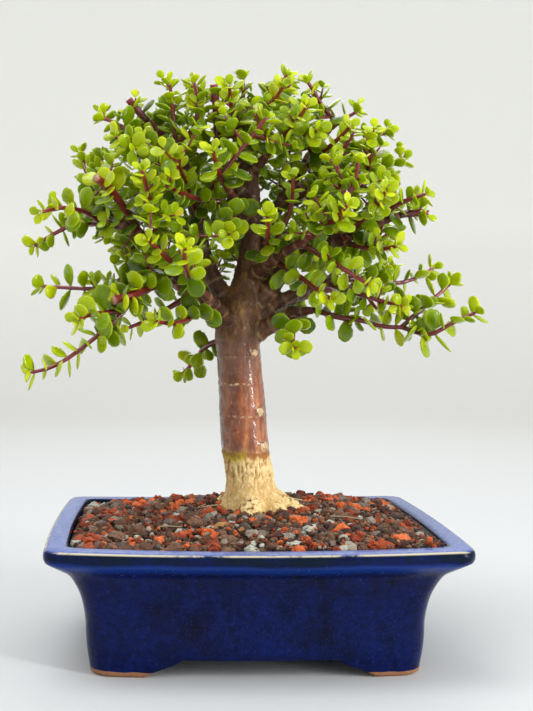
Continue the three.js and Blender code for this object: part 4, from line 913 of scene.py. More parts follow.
def make_pot(settings):
    """A profile carried round the outline: from the underside of the floor down the inside of the
    foot, over its sole, up the outer wall, over the lip, down inside and onto the floor. Wherever
    a point would lie in an arch it is lifted to the arch's soffit. Two round cutters then open the
    drain holes. Each point stores how far in from the lip's edge it lies, and its height as it
    would be if the lip didn't dip."""
    profile = [(70, FLOOR_UNDERSIDE, 12), (56, FLOOR_UNDERSIDE, 8), *FOOT_INSIDE, *OUTSIDE,
               *INSIDE, (60, FLOOR_TOP, 8)]
    rings = np.stack([pot_outline(inset, max(corner, 3), height, POT_SIDES)
                      for inset, height, corner in smooth_curve(profile, PROFILE_STEP)[1]])
    soffit = np.maximum(arch_height(rings[..., 0], FRONT_ARCH),
                        arch_height(rings[..., 1], SIDE_ARCH))
    low = rings[..., 2] < ARCH_REACH
    rings[..., 2] = np.where(low, np.maximum(rings[..., 2], soffit), rings[..., 2])
    piece = new_piece("glazed_pot", *skin(rings))
    for x in DRAIN_HOLES:
        spine = Spine([(x, 0, 4), (x, 0, 12), (x, 0, 24)])
        cutter = new_piece("cutter", *tube(spine, [0, 20], [DRAIN_RADIUS] * 2, 48, False))
        hole = piece.modifiers.new("hole", "BOOLEAN")
        hole.object, hole.operation, hole.solver = cutter, "DIFFERENCE", "EXACT"
        finished_mesh(piece)
        bpy.data.objects.remove(cutter)
    places = to_millimetres(corners_of(piece.data))
    x, y = places[:, 0], places[:, 1]
    in_x = HALF_LENGTH + SHORT_BOW * (1 - (y / HALF_DEPTH) ** 2) - np.abs(x)
    in_y = HALF_DEPTH + LONG_BOW * (1 - (x / HALF_LENGTH) ** 2) - np.abs(y)
    set_values(piece.data, "inset", np.minimum(in_x, in_y))
    dip = LIP_SAG * np.maximum(1 - (x / HALF_LENGTH) ** 2, 0)
    portion = (places[:, 2] - SAG_START) / (POT_HEIGHT - SAG_START)
    level = places[:, 2] + dip * np.clip(portion, 0, 1)
    set_values(piece.data, "level", level)
    piece.data.materials.clear()
    piece.data.materials.append(glaze_paint(settings))
    belongs(piece, "glaze", "pot")


def glaze_paint(settings):
    """Deep cobalt glaze that breaks pale on the lip's edge, runs dark under it and stops short of
    the bare clay of the feet. The lip's top face is painted pale blue: a painted reflection."""
    paint = Paint("cobalt glaze")
    cloud = paint.noise(34, 4, 0.6, distortion=0.5)
    mottle = paint.noise(260, 4, 0.65)
    fleck = paint.noise(900, 3, 0.7)
    level = paint.stored("level")[0]
    inset = paint.stored("inset")[0]
    body = paint.steps(cloud, (0.32, settings.deep), (0.7, settings.bright))
    streak = paint.noise(110, 4, 0.65, stretch=(1, 1, 0.25))
    shade = paint.mix(paint.span(streak, 0.4, 0.64, 0, 0.6), body, settings.bright)
    shade = paint.mix(paint.span(mottle, 0.54, 0.4, 0, 0.5), shade, settings.deep)
    shade = paint.mix(paint.span(fleck, 0.56, 0.76, 0, 0.4), shade, settings.fleck)
    wander = paint.times(paint.noise(26, 3, 0.5, stretch=(1, 1, 0.3)), 5)
    drip = paint.plus(level, wander)
    pool = paint.times(paint.span(drip, 69, 73), paint.span(drip, 78, 75.5))
    shade = paint.mix(paint.times(pool, 0.6), shade, settings.fleck)
    patches = paint.span(paint.noise(60, 3, 0.6), 0.36, 0.56)
    run = paint.times(paint.span(drip, 77, 79), patches)
    shade = paint.mix(paint.times(run, 0.85), shade, settings.band)
    # Painted reflection: the lip's top face is painted pale lavender blue, with flecks.
    thin = paint.times(paint.span(level, 80.7, 81.7), paint.span(inset, 13.2, 12.4))
    lip = paint.mix(paint.span(mottle, 0.4, 0.7, 0, 0.5), settings.lip, settings.fleck)
    lip = paint.mix(paint.span(fleck, 0.62, 0.72, 0, 0.5), lip, settings.deep)
    shade = paint.mix(thin, shade, lip)
    line = paint.times(paint.span(level, 80.2, 81.0), paint.span(inset, 1.5, 0.7))
    broken = paint.span(paint.noise(28, 5, 0.7), 0.4, 0.5)
    line = paint.times(line, broken)
    shade = paint.mix(line, shade, settings.edge)
    wave = paint.times(paint.noise(70, 2, 0.5), 2.4)
    clay = paint.span(paint.plus(level, wave), settings.clay_height * 1000 + 1.4,
                      settings.clay_height * 1000 + 1.0)
    sole = paint.steps(paint.noise(600, 4, 0.7), (0.3, settings.clay),
                       (0.75, dim(settings.clay, 0.6)))
    shade = paint.mix(clay, shade, sole)
    rough = paint.span(clay, 0, 1, settings.roughness, 0.75)
    rough = paint.plus(rough, paint.span(mottle, 0.4, 0.7, 0, 0.14), clamp=True)
    relief = paint.bump(cloud, 0.0008, 0.5)
    relief = paint.bump(mottle, 0.00025, 0.5, relief)
    return paint.finish(
        Base_Color=shade, Roughness=rough, Normal=relief, Specular_IOR_Level=0.13,
    )


# The drain screens


def screen_paint():
    """Black plastic mesh, a little dusty."""
    paint = Paint("screen plastic")
    dust = paint.noise(500, 3, 0.6)
    shade = paint.steps(dust, (0.35, color(22, 22, 22)), (0.75, color(62, 56, 50)))
    rough = paint.span(dust, 0.3, 0.8, 0.45, 0.8)
    return paint.finish(Base_Color=shade, Roughness=rough, Normal=paint.bump(dust, 0.0001))


def paint_screens():
    """Gives both drain screens, which keep their solids, the plastic's material."""
    plastic = screen_paint()
    for name in ("drain_screen_left", "drain_screen_right"):
        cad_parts[name].material_slots[0].material = plastic


# The soil


def soil_height(x, y):
    """Height of the soil: the edge, a tilt along X, a crown that falls off as
    (1 - (x / half)^2) * (1 - (y / half)^2), and a bank behind the trunk that falls off as
    (1 - (x / half)^2) * (1 - ((y - middle) / reach)^2)."""
    rise, middle, reach = SOIL_BANK
    fall = 1 - (x / SOIL_HALF_LENGTH) ** 2
    crown = SOIL_CROWN * fall * (1 - (y / SOIL_HALF_DEPTH) ** 2)
    bank = rise * fall * np.maximum(0, 1 - ((y - middle) / reach) ** 2)
    return SOIL_EDGE + SOIL_TILT * x / SOIL_HALF_LENGTH + crown + bank


def make_soil(settings):
    """The filling: rings up the pot's inner wall, then rings that shrink to the middle over the
    mound, roughened by layered noise as high as its grain, which fades out at the edge."""
    walls = [pot_outline(inset + WALL_GAP, corner, height, SOIL_SIDES)
             for inset, height, corner in SOIL_WALLS]
    edge = pot_outline(13.8, 8, SOIL_EDGE, SOIL_SIDES)
    shares = np.linspace(1, 0.02, SOIL_RINGS)
    cover = edge[None] * shares[:, None, None]
    grain = layered_noise(np.stack([cover[..., 0].ravel(), cover[..., 1].ravel(),
                                    np.zeros(cover[..., 0].size)], 1) / BED_CELL, 5)
    rise = soil_height(cover[..., 0], cover[..., 1]) - BED_DROP
    fade = np.minimum(1, 8 * (1 - shares[:, None]))
    cover[..., 2] = rise + BED_GRAIN * grain.reshape(rise.shape) * fade
    piece = new_piece("soil_bed", *skin(np.concatenate([np.stack(walls), cover])))
    piece.data.materials.append(grit_paint("fine soil", settings.bed, 0.45, 900))
    belongs(piece, "grit", "soil")


def grit_paint(name, base, contrast, scale):
    """Matt stone: it is darker from stone to stone by the tone that the mesh stores, and speckled
    within one."""
    paint = Paint(name)
    own = paint.stored("tone")[0]
    speckle = paint.noise(scale, 4, 0.7)
    dark = dim(base, 1 - contrast)
    pale = tuple(min(1, value * (1 + 0.9 * contrast) + 0.02) for value in base)
    shade = paint.steps(speckle, (0.32, dark), (0.52, base), (0.74, pale))
    worn = paint.steps(own, (0.12, 1.0), (0.4, color(204, 182, 174)), (0.7, color(166, 142, 136)),
                       (1.0, color(116, 98, 94)))
    shade = paint.mix(1.0, shade, worn, "MULTIPLY")
    relief = paint.bump(speckle, 0.0012, 1.0)
    rough = paint.span(speckle, 0.3, 0.7, 0.6, 0.92)
    return paint.finish(Base_Color=shade, Roughness=rough, Normal=relief)


def stones_at(x, y, z, radii, rng):
    """Angular stones. Each is a ball of three rings of six points and two poles, with every point
    pushed in or out by its own draw, stretched along three axes and turned."""
    count, sides = len(x), 6
    angle = np.linspace(0, 2 * np.pi, sides, endpoint=False)
    tip = np.array([0.28, 0.52, 0.75]) * np.pi
    turn = rng.uniform(0, 1, (count, 3, 1)) + angle
    ball = np.stack([np.sin(tip)[:, None] * np.cos(turn), np.sin(tip)[:, None] * np.sin(turn),
                     np.cos(tip)[None, :, None] + 0 * turn], -1).reshape(count, -1, 3)
    poles = np.tile([[0, 0, 1.0], [0, 0, -1.0]], (count, 1, 1))
    ball = np.concatenate([ball, poles], axis=1)
    ball = ball * rng.uniform(0.74, 1.18, (count, ball.shape[1], 1))
    ball = ball * rng.uniform([0.85, 0.7, 0.6], [1.35, 1.05, 0.95], (count, 3))[:, None]
    tilt, spin = rng.uniform(-0.6, 0.6, count), rng.uniform(0, 2 * np.pi, count)
    cos, sin = np.cos(tilt)[:, None], np.sin(tilt)[:, None]
    ball = np.stack([ball[..., 0] * cos + ball[..., 2] * sin, ball[..., 1],
                     ball[..., 2] * cos - ball[..., 0] * sin], -1)
    cos, sin = np.cos(spin)[:, None], np.sin(spin)[:, None]
    ball = np.stack([ball[..., 0] * cos - ball[..., 1] * sin,
                     ball[..., 0] * sin + ball[..., 1] * cos, ball[..., 2]], -1)
    points = ball * radii[:, None, None] + np.stack([x, y, z], -1)[:, None]
    here = np.arange(sides)
    beside = (here + 1) % sides
    row = sides * np.arange(2)[:, None]
    quads = np.stack([row + here, row + sides + here, row + sides + beside, row + beside], -1)
    top, bottom = 3 * sides, 3 * sides + 1
    fans = np.vstack([np.stack([np.full(sides, top), here, beside], -1),
                      np.stack([np.full(sides, bottom), 12 + beside, 12 + here], -1)])
    step = (ball.shape[1] * np.arange(count))[:, None, None]
    return (points.reshape(-1, 3), (quads.reshape(-1, 4)[None] + step).reshape(-1, 4),
            (fans[None] + step).reshape(-1, 3))


def within_walls(x, y, radii):
    """Which stones lie clear of the pot's walls and of the trunk."""
    room_x = WALL_ROOM[0] + SHORT_BOW * (1 - (y / WALL_HALF[1]) ** 2) - 0.9 * radii
    room_y = WALL_ROOM[1] + LONG_BOW * (1 - (x / WALL_HALF[0]) ** 2) - 0.9 * radii
    clear = (np.abs(x) < room_x) & (np.abs(y) < room_y)
    foot_x, foot_y, foot = TRUNK_FOOT
    return clear & (np.hypot(x - foot_x, y - foot_y) > foot + 0.6 * radii)


def make_stones(settings):
    """Stones in staggered rows over the mound, each moved from its place by a draw and sunk by
    about a third of its radius, with crumbs strewn between them. A draw picks each stone's kind,
    and the larger lava stones carry smaller lumps all round. The rootlets are thin tubes."""
    rng = np.random.default_rng(12)
    pitch = settings.spacing * 1000
    half_x, half_y = STONE_FIELD
    columns, rows = int(2 * half_x / pitch), int(2 * half_y / (ROW_PITCH * pitch))
    column, row = np.meshgrid(np.arange(columns), np.arange(rows))
    x = -half_x + pitch * (column + 0.5 * (row % 2) + rng.uniform(-0.45, 0.45, column.shape))
    y = -half_y + ROW_PITCH * pitch * (row + 0.5 + rng.uniform(-0.45, 0.45, column.shape))
    strewn = rng.uniform(-1, 1, (2, CRUMBS)) * np.array(CRUMB_FIELD)[:, None]
    x, y = np.r_[x.ravel(), strewn[0]], np.r_[y.ravel(), strewn[1]]
    stones = len(x) - CRUMBS
    smallest, largest = settings.smallest * 1000, settings.largest * 1000
    radii = between(smallest, largest, rng.uniform(0, 1, len(x)) ** 2.3)
    radii[stones:] = rng.uniform(0.7, 1.6, CRUMBS)
    z = soil_height(x, y) - 0.35 * radii + rng.uniform(-0.8, 1.2, len(x))
    kinds = np.r_[rng.choice(4, stones, p=[kind[4] for kind in STONE_KINDS]),
                  rng.choice(4, CRUMBS, p=[kind[5] for kind in STONE_KINDS])]
    tone = rng.uniform(0, 1, len(x))
    carrier = np.repeat(np.flatnonzero((kinds == 0) & (radii > LUMP_RADIUS)), LUMPS)
    way = unit(rng.normal(size=(len(carrier), 3)) + np.array([0, 0, 0.4]))
    x, y, z = (np.r_[old, old[carrier] + 0.75 * radii[carrier] * way[:, axis]]
               for axis, old in enumerate((x, y, z)))
    radii = np.r_[radii, radii[carrier] * rng.uniform(0.34, 0.56, len(carrier))]
    kinds, tone = np.r_[kinds, kinds[carrier]], np.r_[tone, tone[carrier]]
    inside = within_walls(x, y, radii)
    x, y, z, radii, kinds, tone = (row[inside] for row in (x, y, z, radii, kinds, tone))
    for kind, (name, hue_name, contrast, scale, _, _) in enumerate(STONE_KINDS):
        own = kinds == kind
        points, quads, fans = stones_at(x[own], y[own], z[own], radii[own], rng)
        piece = new_piece(name, points, quads, fans, smooth=False)
        set_values(piece.data, "tone", np.repeat(tone[own], len(points) // own.sum()))
        base = getattr(settings, hue_name)
        piece.data.materials.append(grit_paint(name.replace("_", " "), base, contrast, scale))
        belongs(piece, "grit")
    parts = []
    for route, radius in ROOTLETS:
        spots = [(a, b, soil_height(a, b) + up + 1) for a, b, up in route]
        spine = Spine(spots)
        stops = np.linspace(0, spine.length, 16)
        parts.append(tube(spine, stops, between(radius, 0.6 * radius, stops / stops[-1]), 6))
    piece = new_piece("rootlets", *pack(parts))
    piece.data.materials.append(grit_paint("dry rootlets", color(206, 178, 132), 0.3, 1500))
    belongs(piece, "bark")


# The wood


def spray_route(spray):
    """A main stem's points. One that carries on from a limb starts at the limb's last point but
    one, so that the two run on in one line."""
    if "limb" in spray:
        return LIMBS[spray["limb"]][0][-2:] + spray["stem"]
    return spray["stem"]


def woody_length(spray):
    """How far along its spine a spray is still wood."""
    if "limb" not in spray:
        return spray["collar"]
    before, end = np.array(LIMBS[spray["limb"]][0][-2:], float)
    return float(np.linalg.norm(end - before)) + LIMB_END


def even(values, shares):
    """Values spaced evenly along a length, read at shares of it."""
    return np.interp(shares * (len(values) - 1), np.arange(len(values)), values)


def wood_bars(spines):
    """The solids that make up the wood, and the middle line of each as (place, radius, distance
    along it): the trunk as rings of its own radius, then roots, limbs and collars as tubes. Towards
    its foot the trunk's rings wave by radius * lobe * (cos(6a + 0.4) + 0.6 cos(10a))."""
    bars, lines = [], []
    stops, trunk = smooth_curve(TRUNK, 2.0)
    spine = Spine(trunk[:, :3], 2.0)
    radius = np.interp(spine.stops, stops * spine.length / stops[-1], trunk[:, 3])
    places, _, across, other = spine.at(spine.stops)
    angle = np.linspace(0, 2 * np.pi, 64, endpoint=False)
    lobe = 0.07 * np.clip((104 - places[:, 2]) / 16, 0, 1)[:, None]
    reach = radius[:, None] * (1 + lobe * np.cos(6 * angle + 0.4) + 0.6 * lobe * np.cos(10 * angle))
    turn = angle[None, :, None]
    rings = places[:, None] + reach[..., None] * (
        np.cos(turn) * across[:, None] + np.sin(turn) * other[:, None]
    )
    bars.append(skin(rings))
    lines.append(np.c_[places, radius, np.full(len(places), TRUNK_MARK)])
    carried = {spray["limb"]: name for name, spray in SPRAYS.items() if "limb" in spray}
    routes = [(points, radii, 0.0) for points, radii in ROOTS]
    for name, (points, radii) in LIMBS.items():
        spray = carried[name]
        end = spines[spray].at(woody_length(SPRAYS[spray]))[0][0]
        routes.append((points + [tuple(end)], list(radii) + [COLLAR_RADII[1]], 1.0))
    for points, radii, kind in routes:
        spine = Spine(points)
        shares = spine.stops / spine.length
        radius = even(radii, shares)
        bars.append(tube(spine, spine.stops, radius, 20))
        lines.append(np.c_[spine.places, radius, spine.stops + 7 * kind])
    for name, spray in SPRAYS.items():
        if "limb" not in spray:
            stops = np.linspace(0, spray["collar"], 8)
            radius = even(COLLAR_RADII, stops / stops[-1])
            bars.append(tube(spines[name], stops, radius, 14))
            lines.append(np.c_[spines[name].at(stops)[0], radius, stops])
    return bars, np.vstack(lines)


def nearest_line(places, lines):
    """For each place the radius and the distance along of the middle line whose surface is
    nearest: the least of distance minus radius."""
    found = np.empty(len(places), int)
    for start in range(0, len(places), 2000):
        some = places[start:start + 2000]
        away = np.linalg.norm(some[:, None] - lines[None, :, :3], axis=2) - lines[None, :, 3]
        found[start:start + 2000] = away.argmin(axis=1)
    return lines[found, 3], lines[found, 4]


def relax(places, edges, rounds):
    """Smooths by moving each point half way to the mean of its neighbours, a few times over."""
    count = np.bincount(edges.ravel(), minlength=len(places))[:, None]
    for _ in range(rounds):
        total = np.zeros_like(places)
        np.add.at(total, edges[:, 0], places[edges[:, 1]])
        np.add.at(total, edges[:, 1], places[edges[:, 0]])
        places = between(places, total / count, 0.5)
    return places


def make_wood(settings, spines):
    """All bars joined by a voxel remesh, relaxed, and then moved along their normals by the
    bark's relief. It sums cracks up and down in the cork, ridge * (1.6 |noise| - 0.5), and gentle
    noise above it. To these come bands round the trunk, rings round the limbs and knobs, each
    lift * exp(-(away / width)^2)."""
    bars, lines = wood_bars(spines)
    piece = new_piece("bark", *pack(bars))
    remesh = piece.modifiers.new("join", "REMESH")
    remesh.mode, remesh.voxel_size, remesh.adaptivity = "VOXEL", settings.voxel, 0
    mesh = finished_mesh(piece)
    edges = np.empty(2 * len(mesh.edges), np.int32)
    mesh.edges.foreach_get("vertices", edges)
    places = relax(to_millimetres(corners_of(mesh)), edges.reshape(-1, 2), RELAX_ROUNDS)
    mesh.vertices.foreach_set("co", to_frame(places).astype(np.float32).ravel())
    mesh.update()
    normals = np.empty(3 * len(mesh.vertices), np.float32)
    mesh.vertex_normals.foreach_get("vector", normals)
    normals = normals.reshape(-1, 3).astype(float)
    radius, along = nearest_line(places, lines)
    x, y, z = places.T
    trunk = along > TRUNK_MARK - 1
    cork = trunk * np.clip((CORK_TOP - z) / 7, 0, 1) * np.clip((z - CORK_FOOT) / 10, 0, 1)
    crack = layered_noise(places * np.array([0.62, 0.62, 0.13]), 21)
    pits = layered_noise(places * np.array([0.9, 0.9, 0.5]), 31)
    deep = between(0.22, 1, np.clip((z - CRACK_START) / 9, 0, 1))
    relief = cork * deep * settings.ridge * 1000 * (np.abs(crack) * 1.6 - 0.5 + 0.25 * pits)
    ledge = z - LEDGE - 0.8 * lattice_noise(places * 0.2, 71)
    relief += trunk * 0.5 * np.exp(-((ledge / 1.1) ** 2))
    relief += trunk * (1 - cork) * 0.18 * layered_noise(places * 0.25, 41)
    rough = np.clip((z - FORK_START) / 14, 0, 1) * trunk + (1.0 - trunk)
    relief += rough * np.minimum(1, radius / 5) * 0.55 * layered_noise(places * 0.55, 51)
    for height, lift in TRUNK_RINGS:
        wander = height + 0.5 * lattice_noise(places * 0.05, 61)
        relief += trunk * lift * np.exp(-(((z - wander) / 0.9) ** 2))
    scar = np.exp(-(((along % SCAR_SPACING) - SCAR_PLACE) / SCAR_WIDTH) ** 2)
    relief += (~trunk) * np.minimum(0.45, 0.09 * radius) * scar
    knobs = np.zeros(len(places))
    for knob_x, knob_z, wide, lift in KNOBS:
        near = ((x - knob_x) ** 2 + (z - knob_z) ** 2) / wide**2 * (1 + 0.6 * pits)
        knobs += (y < KNOB_FRONT) * np.exp(-near)
        relief += (y < KNOB_FRONT) * lift * np.exp(-near) * (1 + 0.8 * pits)
    places = places + normals * relief[:, None]
    mesh.vertices.foreach_set("co", to_frame(places).astype(np.float32).ravel())
    mesh.update()
    mesh.polygons.foreach_set("use_smooth", np.ones(len(mesh.polygons), bool))
    hollow = np.clip(0.5 - relief / np.where(cork > 0.2, 1.6, 0.8), 0, 1)
    set_values(mesh, "bark", np.stack([radius, np.where(trunk, knobs, scar), hollow], 1))
    mesh.materials.clear()
    mesh.materials.append(bark_paint(settings))
    belongs(piece, "bark", "wood")


def bark_paint(settings):
    """Golden cork at the base, a narrow ledge with moss at its left, satin red brown bark with
    darker streaks up and down and painted shade towards its left side, and dark rough limbs. The
    mesh stores how thick the limb is, where its leaf scars and knobs are and how deep the place
    lies."""
    paint = Paint("bark")
    height = paint.times(paint.height(), 1000)
    side = paint.side()
    thick, scar, hollow = paint.stored("bark")[1]
    wander = paint.times(paint.noise(90, 4, 0.6, stretch=(1, 1, 0.5)), 9)
    zone = paint.plus(height, wander)
    cloud = paint.noise(120, 5, 0.65, stretch=(1, 1, 0.4))
    streak = paint.noise(85, 3, 0.6, stretch=(1, 1, 0.07))
    fine = paint.noise(700, 4, 0.65, stretch=(1, 1, 0.35))
    on_trunk = paint.span(thick, 8.2, 9.6)
    # The satin bark of the trunk
    dark_satin = dim(settings.satin, 0.36)
    tone = paint.plus(paint.times(cloud, 0.4), paint.times(streak, 0.6))
    satin = paint.steps(tone, (0.38, dark_satin), (0.48, settings.satin), (0.6, settings.glow))
    # Painted shade: the satin bark darkens towards the left side of the trunk.
    satin = paint.mix(paint.span(side, -7, -17, 0, 0.75), satin, dark_satin)
    satin = paint.mix(paint.span(fine, 0.54, 0.7, 0, 0.5), satin, dark_satin)
    satin = paint.mix(paint.span(fine, 0.42, 0.3, 0, 0.4), satin, color(232, 176, 124))
    satin = paint.mix(paint.span(height, 160, 204, 0, 0.65), satin, color(92, 56, 27))
    # Pale rings are broken lines, each on its own part of the front
    straight = paint.plus(height, paint.times(paint.noise(24, 2, 0.5), 4))
    dots = paint.span(paint.noise(420, 2, 0.5), 0.5, 0.56)
    for level, strength, left, right in PALE_RINGS:
        away = paint.math("ABSOLUTE", paint.minus(straight, level + 2))
        ring = paint.times(paint.span(away, 1.0, 0.4), strength)
        ring = paint.times(ring, paint.span(side, left - 1, left + 1))
        ring = paint.times(ring, paint.span(side, right + 1, right - 1))
        ring = paint.times(ring, dots)
        satin = paint.mix(ring, satin, settings.ring)
    crust = paint.plus(scar, paint.times(paint.noise(800, 3, 0.6), 0.9))
    satin = paint.mix(paint.span(crust, 0.66, 0.8, 0, 0.8), satin, dark_satin)
    satin = paint.mix(paint.span(crust, 0.84, 1.0), satin, settings.ring)
    # The cork and the ledge above it
    cork = paint.steps(hollow, (0.3, color(250, 220, 156)), (0.56, settings.cork),
                       (0.9, settings.fissure))
    cork = paint.mix(paint.span(fine, 0.54, 0.7, 0, 0.45), cork, settings.fissure)
    cork = paint.mix(paint.span(paint.noise(420, 3, 0.6), 0.52, 0.64, 0, 0.6), cork,
                     color(255, 236, 188))
    cork = paint.mix(paint.span(cloud, 0.46, 0.34, 0, 0.3), cork, color(176, 128, 62))
    lichen = paint.times(paint.span(side, 1, -4), paint.span(fine, 0.4, 0.5))
    ledge = paint.mix(lichen, color(172, 118, 60), settings.moss)
    ragged = paint.plus(zone, paint.times(fine, 8))
    ragged = paint.plus(ragged, paint.times(streak, -12))
    shade = paint.mix(paint.span(ragged, 124, 127), cork, ledge)
    shade = paint.mix(paint.span(ragged, 127, 134), shade, satin)
    # The limbs, which redden where they are thin
    limb = paint.steps(cloud, (0.3, dim(settings.limb, 0.35)), (0.52, settings.limb),
                       (0.74, color(134, 85, 44)))
    limb = paint.mix(paint.span(fine, 0.5, 0.66, 0, 0.55), limb, dim(settings.limb, 0.3))
    limb = paint.mix(paint.span(thick, 3.8, 2.2, 0, 0.75), limb, color(112, 36, 34))
    limb = paint.mix(paint.times(scar, 0.35), limb, settings.ring)
    fork = paint.steps(cloud, (0.34, settings.limb), (0.5, color(118, 78, 36)),
                       (0.7, color(168, 120, 62)))
    fork = paint.mix(paint.span(fine, 0.5, 0.64, 0, 0.6), fork, dim(settings.limb, 0.4))
    limb = paint.mix(paint.times(on_trunk, 0.7), limb, fork)
    shade = paint.mix(paint.span(zone, 203, 212), shade, limb)
    off_trunk = paint.times(paint.span(height, 128, 132), paint.minus(1.0, on_trunk))
    shade = paint.mix(off_trunk, shade, limb)
    rough = paint.plus(paint.span(zone, 131, 134, 0.75, 0.24),
                       paint.span(zone, 203, 212, 0, 0.3))
    rough = paint.plus(rough, paint.span(fine, 0.4, 0.7, 0, 0.15), clamp=True)
    relief = paint.bump(fine, 0.0006, 0.8)
    relief = paint.bump(cloud, 0.0012, 0.4, relief)
    wet = paint.times(paint.span(zone, 131, 134), paint.span(zone, 203, 212, 0.9, 0.15))
    patches = paint.span(paint.noise(150, 3, 0.6), 0.44, 0.54, 0.2, 1)
    wet = paint.times(wet, patches)
    film = paint.bump(paint.noise(300, 2, 0.5), 0.0004, 0.8)
    return paint.finish(
        Base_Color=shade, Roughness=rough, Normal=relief, Coat_Weight=wet, Coat_Normal=film,
        Coat_Roughness=0.05,
    )


# The leafy sprays

BARE_LIMBS = ("left", "left_high", "right", "right_crown")  # pruned bare in front
MOST_LEAVES = 8000
LEAF_ROOM = 0.27  # least distance of two leaves' middles, as a share of their lengths together
WOOD_ROOM = 1.2  # least distance of a leaf from the wood
TWIG_TRIES = 700  # nodes drawn for twigs that may fill a gap of the crown
TWIG_WAYS = 16  # ways tried for each
TWIG_REACH = (11, 26)
TWIG_ROOM = 10.5  # least distance of a twig's end from every leaf
TWIG_DEPTH = 0.78  # how far out in the dome a twig may end
PAIR_SPACING = 6.5  # along a twig
SHOOT_REACH = (5, 10)
STEM_SIDES, TWIG_SIDES = 8, 6
# Where twigs may start on a limb: least height, largest radius, and each so many stops
LIMB_STARTS = (236, 6.5, 4)

# A leaf is five rings and two end points
LEAF_STATIONS = np.array([0.03, 0.24, 0.5, 0.76, 0.94])
LEAF_SIDES = 8


def leaf_shapes(base, axis, face, length, width, thickness, cup):
    """Leaves as closed lens shapes. At a share u of the length the half width is
    w(u) = width / 2 * sin(pi * u^1.36)^0.62 and the half thickness
    t(u) = thickness / 2 * sin(pi * u^0.85)^0.55. A ring is the oval
    (w * cos(a), t * sin(a)), flatter on top, raised at its edges by cup * w * cos(a)^2, and the
    whole leaf arches back by 0.05 * length * u^2."""
    across = np.cross(face, axis)
    u = LEAF_STATIONS[None, :, None]
    angle = np.linspace(0, 2 * np.pi, LEAF_SIDES, endpoint=False)[None, None, :]
    size = length[:, None, None]
    half = size * width / 2 * np.sin(np.pi * u**1.36) ** 0.62
    thick = size * thickness / 2 * np.sin(np.pi * u**0.85) ** 0.55
    rise = np.where(np.sin(angle) > 0, 0.7, 1.3) * thick * np.sin(angle)
    bend = cup[:, None, None]
    rise = rise + bend * half * np.cos(angle) ** 2 - 0.05 * size * u**2
    points = (
        base[:, None, None]
        + (u * size * np.ones_like(angle))[..., None] * axis[:, None, None]
        + (half * np.cos(angle))[..., None] * across[:, None, None]
        + rise[..., None] * face[:, None, None]
    )
    count = len(base)
    rings = points.reshape(count, -1, 3)
    tip = base + length[:, None] * (axis - 0.05 * face)
    return np.concatenate([rings, base[:, None], tip[:, None]], axis=1)


def leaf_faces():
    """The faces of one leaf, the same for all."""
    _, quads, fans = skin(np.zeros((len(LEAF_STATIONS), LEAF_SIDES, 3)))
    return quads, fans


def leaf_place(step, lean, angle, twist):
    """Base, direction and upper side of a leaf. It leans out from the stem, a little of its
    direction is turned up towards the light, and it is twisted about its own length."""
    place, tangent, across, other = step
    out = across * math.cos(angle) + other * math.sin(angle)
    axis = tangent * math.cos(lean) + out * math.sin(lean)
    axis = unit(axis + np.array([0, 0, 0.12]))
    face = tangent + np.array([0, 0, 0.2])
    face = unit(face - axis * (face @ axis))
    face = face * math.cos(twist) + np.cross(axis, face) * math.sin(twist)
    return place + out * 0.8, axis, face


class Crown:
    """The leaves placed so far, with the middle of each, to keep new ones clear of them."""

    def __init__(self, lines, limbs):
        self.limbs = limbs
        self.middles = np.zeros((MOST_LEAVES, 3))
        self.reach = np.zeros(MOST_LEAVES)
        self.count = 0
        self.lines = lines

    def add(self, step, lean, angle, length, must, twist=0.0):
        """Tries a few ways to place a leaf, and returns the first that is clear, or for a leaf
        that must stand the first of all."""
        first = None
        for turn, tilt, grow in TRIES if not must else TRIES[:3]:
            leaf = leaf_place(step, lean + tilt, angle + turn, twist)
            base, axis, _ = leaf
            size = length * grow
            middle = base + axis * size * 0.6
            away = np.linalg.norm(self.middles[:self.count] - middle, axis=1)
            clear = self.count == 0 or np.all(away > LEAF_ROOM * (self.reach[:self.count] + size))
            spots = np.stack([middle, base + axis * size])
            gap = np.linalg.norm(spots[:, None] - self.lines[None, :, :3], axis=2)
            clear = clear and (gap - self.lines[:, 3]).min() > WOOD_ROOM
            if clear:
                return self.keep(leaf, middle, size)
            first = first or (leaf, middle, size)
        return self.keep(*first) if must else None

    def keep(self, leaf, middle, size):
        """Notes a leaf as placed."""
        self.middles[self.count], self.reach[self.count] = middle, size
        self.count += 1
        return (*leaf, size)


def stems_of(spray, main, order):
    """The main stem and the side stems of a spray: spine, start, radii, seed, and if it was cut."""
    start = woody_length(spray)
    cut = spray.get("cut", False)
    radii = (CUT_BASE, CUT_TIP) if cut else (STEM_BASE, STEM_TIP)
    stems = [(main, start, radii, order * 7 + 1, cut)]
    for branch, points in enumerate(spray.get("sides", [])):
        stems.append((Spine(points), 0.0, (SIDE_BASE, STEM_TIP), order * 7 + branch + 2, False))
    return stems


def cut_ends(spines):
    """Rows like those of wood_bars that keep leaves away from the ends of the cut stems."""
    for name, spray in SPRAYS.items():
        if spray.get("cut"):
            length = spines[name].length
            spots = spines[name].at(np.linspace(length - 9, length, 4))[0]
            yield np.column_stack([spots, np.full(4, CUT_ROOM), np.zeros(4)])


def shoot_chance(arm, amount):
    """How likely a shoot stands in a leaf's axil. An open arm has shoots only near its base."""
    if arm in OPEN_ARMS:
        return 0.75 if amount < 0.35 else 0
    return 0.75 if amount < 0.8 else 0.3


